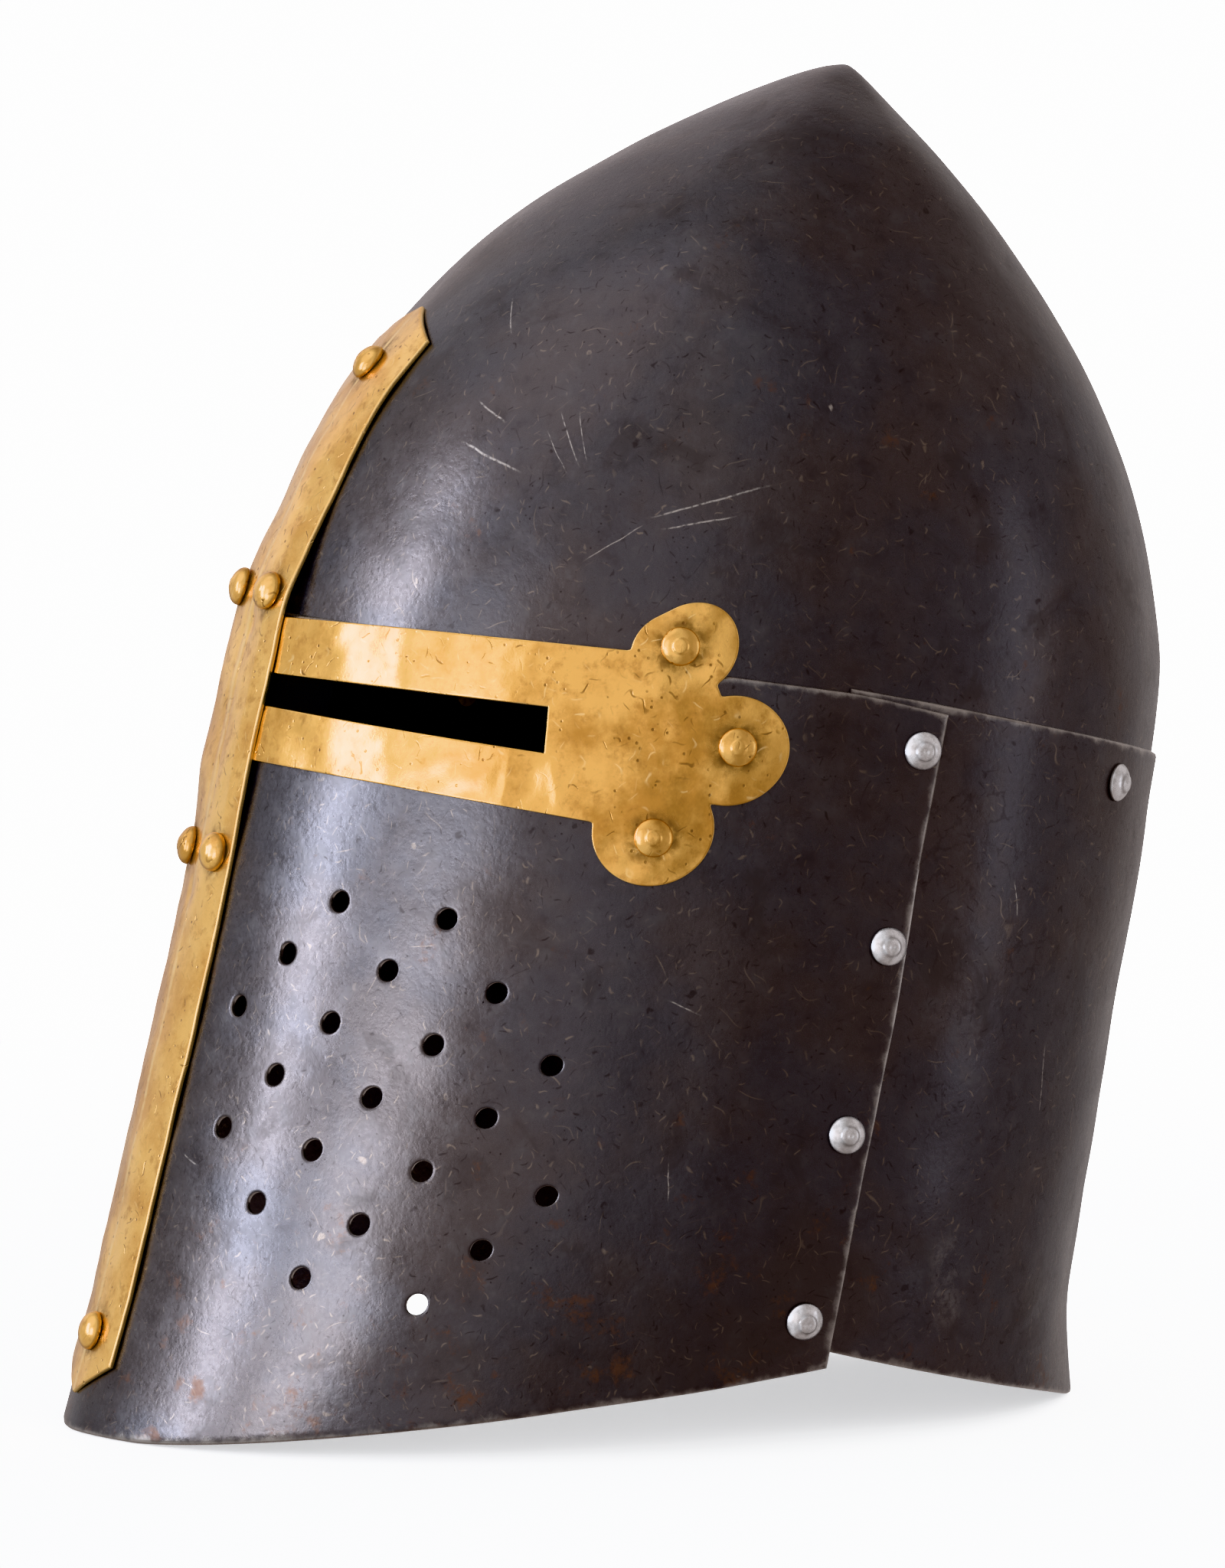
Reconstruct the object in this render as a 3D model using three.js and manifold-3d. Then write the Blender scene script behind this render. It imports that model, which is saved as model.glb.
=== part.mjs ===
// Great helm with a pointed skull: three riveted sheets of blackened steel, and a brass cross on the face.
// Millimetres, +Z up. The face looks along -Y, the wearer's left is +X, and the helm stands on z = 0.
import * as THREE from 'three';
import { mergeVertices } from 'three/addons/utils/BufferGeometryUtils.js';
import Module from 'manifold-3d';

const wasm = await Module();
wasm.setup();

// Sheet thicknesses and the clearance between neighbouring pieces.
const STEEL = 1.2;
const BRASS = 1.0;
const GAP = 0.3;
const LAP_GAP = 0.5;

// The helm's own surface is the outside of the skull, carried on down to the neck.
// Each row is one slanted cross section: its height at the front ridge (level), where it meets the
// ridge and the back, its height at the back, its half width, and the keel's slope in degrees.
const SECTIONS = [
  { level: 0, frontY: -152.5, backY: 128, backZ: 0, halfWidth: 101, keel: 15 },
  { level: 24, frontY: -145, backY: 126, backZ: 20, halfWidth: 105, keel: 15 },
  { level: 64, frontY: -135, backY: 130, backZ: 54, halfWidth: 108, keel: 15 },
  { level: 130, frontY: -119, backY: 139, backZ: 108, halfWidth: 110, keel: 15 },
  { level: 190, frontY: -105.5, backY: 147, backZ: 156, halfWidth: 110.5, keel: 14 },
  { level: 240, frontY: -90.5, backY: 152, backZ: 203, halfWidth: 108.5, keel: 12 },
  { level: 285, frontY: -62.5, backY: 141, backZ: 254, halfWidth: 98, keel: 9 },
  { level: 325, frontY: -15, backY: 115, backZ: 303, halfWidth: 72, keel: 6 },
  { level: 352, frontY: 40, backY: 84.5, backZ: 342, halfWidth: 34, keel: 3 },
  { level: 363, frontY: 68.5, backY: 68.5, backZ: 363, halfWidth: 0, keel: 0 },
];
const APEX_LEVEL = 363;
// Share of the depth at which a section is widest, and how full its four quarter curves are.
const WIDEST = 0.59;
const FRONT_FULLNESS = 0.74;
const FRONT_SIDE_FULLNESS = 0.52;
const BACK_SIDE_FULLNESS = 0.51;
const BACK_FULLNESS = 0.55;
const KEEL_ROUNDING = 9;
const TIP_ROUNDING = 3;

// Skull: its hidden rim runs above the eye slits and drops behind the lobes to reach the back rivets.
const SKULL_RIM_FRONT = 206;
const SKULL_RIM_BACK = 188;
const SKULL_RIM_DROP = { from: 170, to: 198 };

// Front plate: girths are measured round the helm from the ridge.
const FRONT_TOP = 216.4;
const FRONT_TOP_DROP = 2.6;
const FRONT_REAR_TOP = 208.2;
const FRONT_REAR_BOTTOM = 215.5;
const FRONT_STEP = { from: 169, to: 179 };
const FRONT_BENDS = [0, 9, 20, 33, 46, 60, 74, 88, 102, 116, 130, 143, 156, 169, 179, 193, FRONT_REAR_TOP];
const SEAM_BOTTOM = 26.5;
const FRONT_FOOT = 30;

// Back plate: its front edges lie under the front plate.
const BACK_FRONT_TOP = 181;
const BACK_FRONT_BOTTOM = 188;
const BACK_TOP_AT_SEAM = 217.6;
const BACK_TOP_AT_BACK = 207;
const BACK_FOOT = 335;

// Breath holes: five slanted strands, each from its highest hole. On the right they sit a little higher.
const BREATH_DIAMETER = 5.6;
const BREATH_RIGHT_RISE = 2.5;
const BREATH_NEXT_HOLE = { girth: -13.6, level: -15.2 };
const BREATH_STRANDS = [
  { girth: 58, level: 145, holes: 3 },
  { girth: 90, level: 144, holes: 5 },
  { girth: 107, level: 126, holes: 5 },
  { girth: 125, level: 108, holes: 5 },
  { girth: 131, level: 73, holes: 3 },
];

// Eye slit: the arm is open from the bar's edge on, and the plate behind it keeps a wider bridge over the nose.
const SLIT_START = 9;
const SLIT_END = 107;
const PLATE_SLIT_START = 42;

// Arm of the cross: it starts under the bar's edge and ends in three lobes, each with a rivet.
const ARM_START = 12.5;
const ARM_HEIGHT = 1.8;
const LOBES = [
  { name: 'upper', girth: 137.8, level: 221.9, radius: 11.8, rivetGirth: 135, rivetLevel: 222.1 },
  { name: 'middle', girth: 153.4, level: 197.1, radius: 14.7, rivetGirth: 154.7, rivetLevel: 198.3 },
  { name: 'lower', girth: 137.8, level: 174.3, radius: 15.3, rivetGirth: 138.8, rivetLevel: 171.8 },
];

// Where the lobes grow together: two more discs round off the upper lobe's neck.
const LOBE_NECKS = [
  { girth: 140, level: 208, radius: 8.5 },
  { girth: 133, level: 220.5, radius: 10 },
];

// Ridge bar: pointed ends, wider towards the top, with its edges standing off the steel.
const BAR_LOW_TIP = 9;
const BAR_HIGH_TIP = 295.5;
const BAR_POINT = 8.5;
const BAR_HALF_LOW = 15;
const BAR_HALF_HIGH = 20;
const BAR_EDGE_LIFT = 1.4;

// Rivets.
const SHANK_RADIUS = 2.2;
const HOLE_RADIUS = 2.9;
const STEEL_HEAD = { radius: 5, height: 3.4, dimple: 0.5 };
const LOBE_HEAD = { radius: 5, height: 3, dimple: 0 };
const RIDGE_HEAD = { radius: 5.3, height: 4.4, dimple: 0 };
const SIDE_RIVETS = [
  { girth: 203, level: 203.6 },
  { girth: 205, level: 147.5 },
  { girth: 205, level: 92.5 },
  { girth: 205, level: 39.2 },
];
const BACK_RIVET = { girth: 279.5, level: 200.8 };
const RIDGE_RIVETS = [
  { name: 'ridge_rivet_top', girth: 0, level: 280, sheets: ['ridge_bar', 'skull'] },
  { name: 'ridge_rivet_upper_left', girth: 11, level: 220.7, sheets: ['ridge_bar', 'skull'] },
  { name: 'ridge_rivet_upper_right', girth: -11, level: 220.7, sheets: ['ridge_bar', 'skull'] },
  { name: 'ridge_rivet_lower_left', girth: 10.2, level: 152.6, sheets: ['ridge_bar', 'front_plate'] },
  { name: 'ridge_rivet_lower_right', girth: -10.2, level: 152.6, sheets: ['ridge_bar', 'front_plate'] },
  { name: 'ridge_rivet_bottom', girth: 2.5, level: 25.5, sheets: ['ridge_bar', 'front_plate'] },
];

const BLACK_STEEL = { color: 0x2f2d2e, roughness: 0.42, metalness: 1 };
const OLD_BRASS = { color: 0xb58d48, roughness: 0.36, metalness: 1 };
const BRIGHT_STEEL = { color: 0xb4b6b8, roughness: 0.3, metalness: 1 };

const { lerp, smoothstep, clamp, degToRad } = THREE.MathUtils;

// Slope of one column of the section table at a row, weighted between its two neighbours.
function slopeAt(row, column) {
  const below = SECTIONS[Math.max(row - 1, 0)];
  const here = SECTIONS[row];
  const above = SECTIONS[Math.min(row + 1, SECTIONS.length - 1)];
  const stepBelow = here.level - below.level;
  const stepAbove = above.level - here.level;
  if (stepBelow === 0) return (above[column] - here[column]) / stepAbove;
  if (stepAbove === 0) return (here[column] - below[column]) / stepBelow;
  const slopeBelow = (here[column] - below[column]) / stepBelow;
  const slopeAbove = (above[column] - here[column]) / stepAbove;
  return (slopeAbove * stepBelow + slopeBelow * stepAbove) / (stepBelow + stepAbove);
}

// One column of the section table at any level, on a smooth cubic through the rows.
function sectionValue(level, column) {
  const next = SECTIONS.findIndex((section) => section.level > level);
  const row = next < 0 ? SECTIONS.length - 2 : Math.max(next - 1, 0);
  const low = SECTIONS[row];
  const high = SECTIONS[row + 1];
  const step = high.level - low.level;
  const t = (level - low.level) / step;
  const s = 1 - t;
  return low[column] * (1 + 2 * t) * s * s
    + slopeAt(row, column) * step * t * s * s
    + high[column] * t * t * (3 - 2 * t)
    - slopeAt(row + 1, column) * step * t * t * s;
}

function bezier(p0, p1, p2, p3, t) {
  const s = 1 - t;
  return s * s * s * p0 + 3 * s * s * t * p1 + 3 * s * t * t * p2 + t * t * t * p3;
}

// A point of the helm's surface: round runs from 0 at the ridge over 1 at the widest place to 2 at
// the back, and is negative on the wearer's right. The keel and the tip are rounded by hyperbolas.
function helmPoint(round, level) {
  const frontY = sectionValue(level, 'frontY');
  const depth = sectionValue(level, 'backY') - frontY;
  const backZ = sectionValue(level, 'backZ');
  const width = sectionValue(level, 'halfWidth');
  const keel = degToRad(sectionValue(level, 'keel'));
  const widestAt = WIDEST * depth;
  const way = Math.abs(round);
  let x;
  let along;
  if (way <= 1) {
    x = bezier(0, FRONT_FULLNESS * width * Math.cos(keel), width, width, way);
    along = bezier(0, FRONT_FULLNESS * width * Math.sin(keel), widestAt * (1 - FRONT_SIDE_FULLNESS), widestAt, way);
    along += Math.tan(keel) * (Math.hypot(x, KEEL_ROUNDING) - x) * Math.min(width / 40, 1);
  } else {
    x = bezier(width, width, BACK_FULLNESS * width, 0, way - 1);
    along = bezier(widestAt, widestAt + BACK_SIDE_FULLNESS * (depth - widestAt), depth, depth, way - 1);
  }
  const share = depth > 0 ? along / depth : 0;
  const sharpZ = lerp(level, backZ, share);
  const drop = APEX_LEVEL - sharpZ;
  const z = sharpZ - (Math.hypot(drop, TIP_ROUNDING) - drop);
  return new THREE.Vector3(Math.sign(round) * x, frontY + along, z);
}

// A point that stands off the helm's surface by the given height along its outward normal.
function helmOffset(round, level, height) {
  const point = helmPoint(round, level);
  if (level > APEX_LEVEL - 0.01) return point.add(new THREE.Vector3(0, 0, height));
  const across = helmPoint(Math.min(round + 0.002, 2), level).sub(helmPoint(Math.max(round - 0.002, -2), level));
  const upward = helmPoint(round, level + 0.005).sub(helmPoint(round, Math.max(level - 0.1, 0)));
  return point.addScaledVector(across.cross(upward).normalize(), height);
}

// Where a girth in millimetres from the ridge lies on a section: sums chords until it is reached.
function roundAtGirth(girth, level) {
  const steps = 80;
  const wanted = Math.abs(girth);
  let length = 0;
  let last = helmPoint(0, level);
  for (let step = 1; step <= steps; step++) {
    const next = helmPoint((2 * step) / steps, level);
    const chord = next.distanceTo(last);
    if (length + chord >= wanted) return (Math.sign(girth) * 2 * (step - 1 + (wanted - length) / chord)) / steps;
    length += chord;
    last = next;
  }
  return Math.sign(girth) * 2;
}

function onHelm(girth, level, height) {
  return helmOffset(roundAtGirth(girth, level), level, height);
}

// The lowest edge stands flat on the ground.
function footed(point, level) {
  if (level === 0) point.z = 0;
  return point;
}

// A closed geometry as a solid for joining and cutting.
function solidOf(geometry) {
  const bare = new THREE.BufferGeometry();
  bare.setAttribute('position', geometry.getAttribute('position'));
  bare.setIndex(geometry.getIndex());
  const merged = mergeVertices(bare, 1e-4);
  return new wasm.Manifold(new wasm.Mesh({
    numProp: 3,
    vertProperties: new Float32Array(merged.getAttribute('position').array),
    triVerts: new Uint32Array(merged.getIndex().array),
  }));
}

// A sheet bent over the helm: a flat slab divided into columns and rows, each corner moved to
// place(across, up, out), where across and up run from 0 to 1 and out is 0 inside and 1 outside.
function sheet(columns, rows, place) {
  const slab = new THREE.BoxGeometry(1, 1, 1, columns, rows, 1);
  const corners = slab.getAttribute('position');
  for (let i = 0; i < corners.count; i++) {
    const point = place(corners.getX(i) + 0.5, corners.getY(i) + 0.5, corners.getZ(i) + 0.5);
    corners.setXYZ(i, point.x, point.y, point.z);
  }
  return solidOf(slab);
}

// A round bar square to the helm's surface, for drilling holes and cutting lobes.
function roundTool(girth, level, radius, sides) {
  const middle = onHelm(girth, level, 0);
  const outward = onHelm(girth, level, 1).sub(middle);
  const tool = new THREE.CylinderGeometry(radius, radius, 24, sides);
  tool.applyQuaternion(new THREE.Quaternion().setFromUnitVectors(new THREE.Vector3(0, 1, 0), outward));
  tool.translate(middle.x, middle.y, middle.z);
  return solidOf(tool);
}

// Heights of the sheets above the helm's surface.
function frontSeat(girth) {
  return GAP + (STEEL + LAP_GAP) * smoothstep(Math.abs(girth), FRONT_STEP.from, FRONT_STEP.to);
}

function barSeat(girth, level) {
  const overPlate = (STEEL + GAP) * (1 - smoothstep(level, 221, 231));
  return GAP + overPlate + BAR_EDGE_LIFT * clamp((Math.abs(girth) - 2) / 9.5, 0, 1);
}

// Edges of the sheets, as levels or girths.
function frontBottom(girth) {
  const share = Math.max(Math.abs(girth) - FRONT_FOOT, 0) / (FRONT_REAR_BOTTOM - FRONT_FOOT);
  return SEAM_BOTTOM * Math.pow(share, 1.3);
}

function frontTop(girth) {
  return FRONT_TOP - FRONT_TOP_DROP * smoothstep(Math.abs(girth), FRONT_STEP.to, FRONT_REAR_TOP + 8);
}

function backBottom(girth) {
  const share = (BACK_FOOT - Math.abs(girth)) / (BACK_FOOT - FRONT_REAR_BOTTOM);
  return SEAM_BOTTOM * Math.pow(clamp(share, 0, 1.2), 1.15);
}

function backTop(girth) {
  return lerp(BACK_TOP_AT_SEAM, BACK_TOP_AT_BACK, (Math.abs(girth) - BACK_FRONT_TOP) / 190);
}

function skullRim(girth) {
  const drop = smoothstep(Math.abs(girth), SKULL_RIM_DROP.from, SKULL_RIM_DROP.to);
  return lerp(SKULL_RIM_FRONT, SKULL_RIM_BACK, drop);
}

function armTop(girth) {
  return 214.4 + 0.041 * girth;
}

function armBottom(girth) {
  return 177.6 - 0.00024 * girth * girth;
}

function slitTop(girth) {
  return 200 + 0.0216 * girth;
}

function slitBottom(girth) {
  return 192.3 - 0.0182 * girth;
}

// Skull: one closed shell, turned from a profile that runs up the inside and down the outside,
// whose rings are then moved onto the helm's sections.
function makeSkull() {
  const segments = 40;
  const insideRows = 7;
  const outsideRows = 10;
  const stations = [];
  for (let row = 0; row <= outsideRows; row++) stations.push({ rise: row / outsideRows, height: 0 });
  for (let row = insideRows; row >= 0; row--) stations.push({ rise: row / insideRows, height: -STEEL });
  stations.push(stations[0]);
  const profile = stations.map((station) => new THREE.Vector2(100 * (1 - station.rise), 100 * station.rise));
  const shell = new THREE.LatheGeometry(profile, segments);
  const corners = shell.getAttribute('position');
  for (let i = 0; i < corners.count; i++) {
    const station = stations[i % stations.length];
    const turn = Math.floor(i / stations.length) / segments;
    const round = turn === 1 ? -2 : 4 * turn - 2;
    const rim = skullRim(Math.abs(round) * 203);
    const level = lerp(rim, APEX_LEVEL, Math.sin((station.rise * Math.PI) / 2));
    const point = helmOffset(round, station.rise === 1 ? APEX_LEVEL : level, station.height);
    corners.setXYZ(i, point.x, point.y, point.z);
  }
  return solidOf(shell);
}

function makeFrontPlate() {
  const rearGirth = (level) => lerp(FRONT_REAR_BOTTOM, FRONT_REAR_TOP, level / FRONT_TOP);
  const bends = FRONT_BENDS.length - 1;
  let plate = sheet(2 * bends, 8, (across, up, out) => {
    const bend = Math.round((2 * across - 1) * bends);
    const guess = FRONT_BENDS[Math.abs(bend)];
    const level = lerp(frontBottom(guess), frontTop(guess), up);
    const girth = Math.sign(bend) * (Math.abs(bend) === bends ? rearGirth(level) : guess);
    return footed(onHelm(girth, level, frontSeat(girth) + out * STEEL), level);
  });
  for (const side of [-1, 1]) {
    plate = plate.subtract(slitTool(side, PLATE_SLIT_START));
    const rise = side < 0 ? BREATH_RIGHT_RISE : 0;
    for (const strand of BREATH_STRANDS) {
      for (let hole = 0; hole < strand.holes; hole++) {
        const girth = strand.girth + hole * BREATH_NEXT_HOLE.girth;
        const level = strand.level + hole * BREATH_NEXT_HOLE.level + rise;
        plate = plate.subtract(roundTool(side * girth, level, BREATH_DIAMETER / 2, 6));
      }
    }
  }
  return plate;
}

// A thick curved block with the eye slit's outline.
function slitTool(side, start) {
  return sheet(12, 1, (across, up, out) => {
    const girth = lerp(start, SLIT_END, side > 0 ? across : 1 - across);
    const level = lerp(slitBottom(girth), slitTop(girth), up);
    return onHelm(side * girth, level, lerp(-7, 9, out));
  });
}

function makeBackPlate() {
  return sheet(24, 8, (across, up, out) => {
    // Runs from the wearer's left over the back to the wearer's right, so the inside stays inside.
    const turn = Math.abs(2 * across - 1);
    const side = across < 0.5 ? 1 : -1;
    const nearBack = 1 - turn;
    const guess = lerp(BACK_FRONT_TOP, 372, nearBack);
    const level = lerp(backBottom(guess), backTop(guess), up);
    const front = roundAtGirth(lerp(BACK_FRONT_BOTTOM, BACK_FRONT_TOP, level / FRONT_TOP), level);
    return footed(helmOffset(side * lerp(front, 2, nearBack), level, GAP + out * STEEL), level);
  });
}

// Ridge bar: the strip's middle follows the keel and its ends are cut back towards the edges.
function makeRidgeBar() {
  return sheet(6, 16, (across, up, out) => {
    const aside = 2 * across - 1;
    const cut = BAR_POINT * Math.abs(aside);
    const level = lerp(BAR_LOW_TIP + cut, BAR_HIGH_TIP - cut, up);
    const girth = aside * lerp(BAR_HALF_LOW, BAR_HALF_HIGH, level / BAR_HIGH_TIP);
    return onHelm(girth, level, barSeat(girth, level) + out * BRASS);
  });
}

// Arm: a curved sheet trimmed to the band and its three lobes, with the eye slit cut out.
function makeArm(side) {
  const blank = sheet(18, 5, (across, up, out) => {
    const girth = lerp(ARM_START, 170, side > 0 ? across : 1 - across);
    return onHelm(side * girth, lerp(152, 238, up), ARM_HEIGHT + out * BRASS);
  });
  let outline = sheet(12, 1, (across, up, out) => {
    const girth = lerp(5, 140, side > 0 ? across : 1 - across);
    return onHelm(side * girth, lerp(armBottom(girth), armTop(girth), up), lerp(-7, 10, out));
  });
  for (const lobe of [...LOBES, ...LOBE_NECKS]) {
    outline = outline.add(roundTool(side * lobe.girth, lobe.level, lobe.radius, 16));
  }
  return blank.intersect(outline).subtract(slitTool(side, SLIT_START));
}

// The height of a sheet's outside above the helm's surface.
const OUTSIDE = {
  skull: () => 0,
  back_plate: () => GAP + STEEL,
  front_plate: (girth) => frontSeat(girth) + STEEL,
  ridge_bar: (girth, level) => barSeat(girth, level) + BRASS,
  arm_left: () => ARM_HEIGHT + BRASS,
  arm_right: () => ARM_HEIGHT + BRASS,
};

// Where a rivet's head sits and which way it points: square to the outside of its top sheet.
function rivetPlace(rivet) {
  const height = OUTSIDE[rivet.sheets[0]];
  const seat = (girth, level) => onHelm(girth, level, height(girth, level));
  const middle = seat(rivet.girth, rivet.level);
  const across = seat(rivet.girth + 3, rivet.level).sub(seat(rivet.girth - 3, rivet.level));
  const upward = seat(rivet.girth, rivet.level + 3).sub(seat(rivet.girth, rivet.level - 3));
  const outward = across.cross(upward).normalize();
  const turn = new THREE.Quaternion().setFromUnitVectors(new THREE.Vector3(0, 1, 0), outward);
  return { middle, turn };
}

// Rivet: a dome with a short straight rim, and a shank that ends just inside its last sheet.
function rivetProfile(rivet) {
  const { radius, height, dimple } = rivet.head;
  const rim = 0.7;
  const rise = height - rim;
  const profile = [
    new THREE.Vector2(0, -rivet.length),
    new THREE.Vector2(SHANK_RADIUS, -rivet.length),
    new THREE.Vector2(SHANK_RADIUS, GAP),
    new THREE.Vector2(radius, GAP),
    new THREE.Vector2(radius, GAP + rim),
  ];
  for (const angle of [30, 60]) {
    const turn = degToRad(angle);
    profile.push(new THREE.Vector2(radius * Math.cos(turn), GAP + rim + rise * Math.sin(turn)));
  }
  profile.push(new THREE.Vector2(0, GAP + height - dimple));
  return profile;
}

const sheets = {
  skull: makeSkull(),
  back_plate: makeBackPlate(),
  front_plate: makeFrontPlate(),
  arm_left: makeArm(1),
  arm_right: makeArm(-1),
  ridge_bar: makeRidgeBar(),
};

// Every rivet, with the sheets that it goes through from the outside in.
const rivets = RIDGE_RIVETS.map((rivet) => ({ ...rivet, head: RIDGE_HEAD, look: OLD_BRASS }));
for (const [side, word] of [[1, 'left'], [-1, 'right']]) {
  for (const lobe of LOBES) {
    const under = lobe.name === 'upper' ? 'skull' : 'front_plate';
    rivets.push({
      name: `lobe_rivet_${lobe.name}_${word}`,
      girth: side * lobe.rivetGirth,
      level: lobe.rivetLevel,
      sheets: [`arm_${word}`, under],
      head: LOBE_HEAD,
      look: OLD_BRASS,
    });
  }
  SIDE_RIVETS.forEach(({ girth, level }, place) => {
    rivets.push({
      name: `side_rivet_${place + 1}_${word}`,
      girth: side * girth,
      level,
      sheets: place === 0 ? ['front_plate', 'back_plate', 'skull'] : ['front_plate', 'back_plate'],
      head: STEEL_HEAD,
      look: BRIGHT_STEEL,
    });
  });
  rivets.push({
    name: `back_rivet_${word}`,
    girth: side * BACK_RIVET.girth,
    level: BACK_RIVET.level,
    sheets: ['back_plate', 'skull'],
    head: STEEL_HEAD,
    look: BRIGHT_STEEL,
  });
}

const helm = new THREE.Group();
helm.name = 'great_helm';

function addMesh(name, geometry, look) {
  const mesh = new THREE.Mesh(geometry, new THREE.MeshStandardMaterial(look));
  mesh.name = name;
  helm.add(mesh);
  return mesh;
}

for (const rivet of rivets) {
  const { middle, turn } = rivetPlace(rivet);
  const inside = rivet.sheets.includes('skull') ? -STEEL : GAP;
  rivet.length = OUTSIDE[rivet.sheets[0]](rivet.girth, rivet.level) - inside + 0.8;
  for (const name of rivet.sheets) {
    const drill = new THREE.CylinderGeometry(HOLE_RADIUS, HOLE_RADIUS, 16, 6);
    drill.applyQuaternion(turn);
    drill.translate(middle.x, middle.y, middle.z);
    sheets[name] = sheets[name].subtract(solidOf(drill));
  }
  const mesh = addMesh(rivet.name, new THREE.LatheGeometry(rivetProfile(rivet), 8), rivet.look);
  mesh.position.copy(middle);
  mesh.quaternion.copy(turn);
}

for (const [name, solid] of Object.entries(sheets)) {
  const cut = solid.getMesh();
  const geometry = new THREE.BufferGeometry();
  geometry.setAttribute('position', new THREE.BufferAttribute(new Float32Array(cut.vertProperties), 3));
  geometry.setIndex(new THREE.BufferAttribute(new Uint32Array(cut.triVerts), 1));
  geometry.computeVertexNormals();
  addMesh(name, geometry, name.startsWith('arm') || name === 'ridge_bar' ? OLD_BRASS : BLACK_STEEL);
}

export default helm;
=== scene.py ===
import bpy
import numpy as np
from mathutils import Matrix


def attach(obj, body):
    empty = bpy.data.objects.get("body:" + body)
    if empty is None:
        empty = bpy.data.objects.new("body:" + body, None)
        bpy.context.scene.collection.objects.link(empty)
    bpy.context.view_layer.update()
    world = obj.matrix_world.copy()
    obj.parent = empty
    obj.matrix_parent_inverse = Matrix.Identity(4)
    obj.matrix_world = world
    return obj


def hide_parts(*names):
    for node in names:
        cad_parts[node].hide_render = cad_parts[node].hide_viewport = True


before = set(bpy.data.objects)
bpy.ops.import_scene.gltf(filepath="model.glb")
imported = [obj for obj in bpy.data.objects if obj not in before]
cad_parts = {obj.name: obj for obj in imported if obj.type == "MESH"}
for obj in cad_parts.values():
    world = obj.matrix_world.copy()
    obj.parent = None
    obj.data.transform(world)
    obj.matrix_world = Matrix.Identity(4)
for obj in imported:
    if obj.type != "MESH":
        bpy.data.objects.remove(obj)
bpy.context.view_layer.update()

# Skull: the pointed dome of the helm, raised by hammer from one sheet of steel and blackened in oil.
# Its rim is hidden: it goes down inside the front and back plates, which are riveted over it.

# One row for each slanted cross section, in millimetres: its height at the front ridge (its level),
# the ridge's y, the back's y, the back's height, half the width, and the keel's slope in degrees.
SECTIONS = np.array([
    [0, -152.5, 128, 0, 101, 15],
    [24, -145, 126, 20, 105, 15],
    [64, -135, 130, 54, 108, 15],
    [130, -119, 139, 108, 110, 15],
    [190, -105.5, 147, 156, 110.5, 14],
    [240, -90.5, 152, 203, 108.5, 12],
    [285, -62.5, 141, 254, 98, 9],
    [325, -15, 115, 303, 72, 6],
    [352, 40, 84.5, 342, 34, 3],
    [363, 68.5, 68.5, 363, 0, 0],
])
APEX_LEVEL = 363
# The shape of each section: where it is widest, as a share of its depth, and how full its curves are.
WIDEST = 0.59
KEEL_FULLNESS = 0.74
CHEEK_FULLNESS = 0.48
SIDE_FULLNESS = 0.51
BACK_FULLNESS = 0.55
KEEL_ROUNDING = 9
TIP_ROUNDING = 3
# Sections narrower than this on each side, near the tip, have a less rounded keel.
NARROW = 40
# Thickness of the steel, and the air between two sheets that lie on each other.
STEEL = 1.2
GAP = 0.3


def section_column(level, column):
    """One column of the table at any level: a cubic through the rows, whose slope at each row is the
    mean of the slopes to its two neighbours, weighted by the nearer one."""
    rows = SECTIONS[:, 0]
    values = SECTIONS[:, column]
    steps = np.diff(rows)
    slopes = np.diff(values) / steps
    middle = (slopes[1:] * steps[:-1] + slopes[:-1] * steps[1:]) / (steps[1:] + steps[:-1])
    tangents = np.concatenate([slopes[:1], middle, slopes[-1:]])
    row = np.clip(np.searchsorted(rows, level, side="right") - 1, 0, len(rows) - 2)
    step = steps[row]
    t = (level - rows[row]) / step
    low = values[row] * (1 + 2 * t) * (1 - t) ** 2 + tangents[row] * step * t * (1 - t) ** 2
    high = values[row + 1] * t * t * (3 - 2 * t) - tangents[row + 1] * step * t * t * (1 - t)
    return low + high


def quarter_curve(p0, p1, p2, p3, t):
    """A cubic Bezier curve through p0 and p3, drawn towards p1 and p2."""
    s = 1 - t
    return s ** 3 * p0 + 3 * s * s * t * p1 + 3 * s * t * t * p2 + t ** 3 * p3


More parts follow.
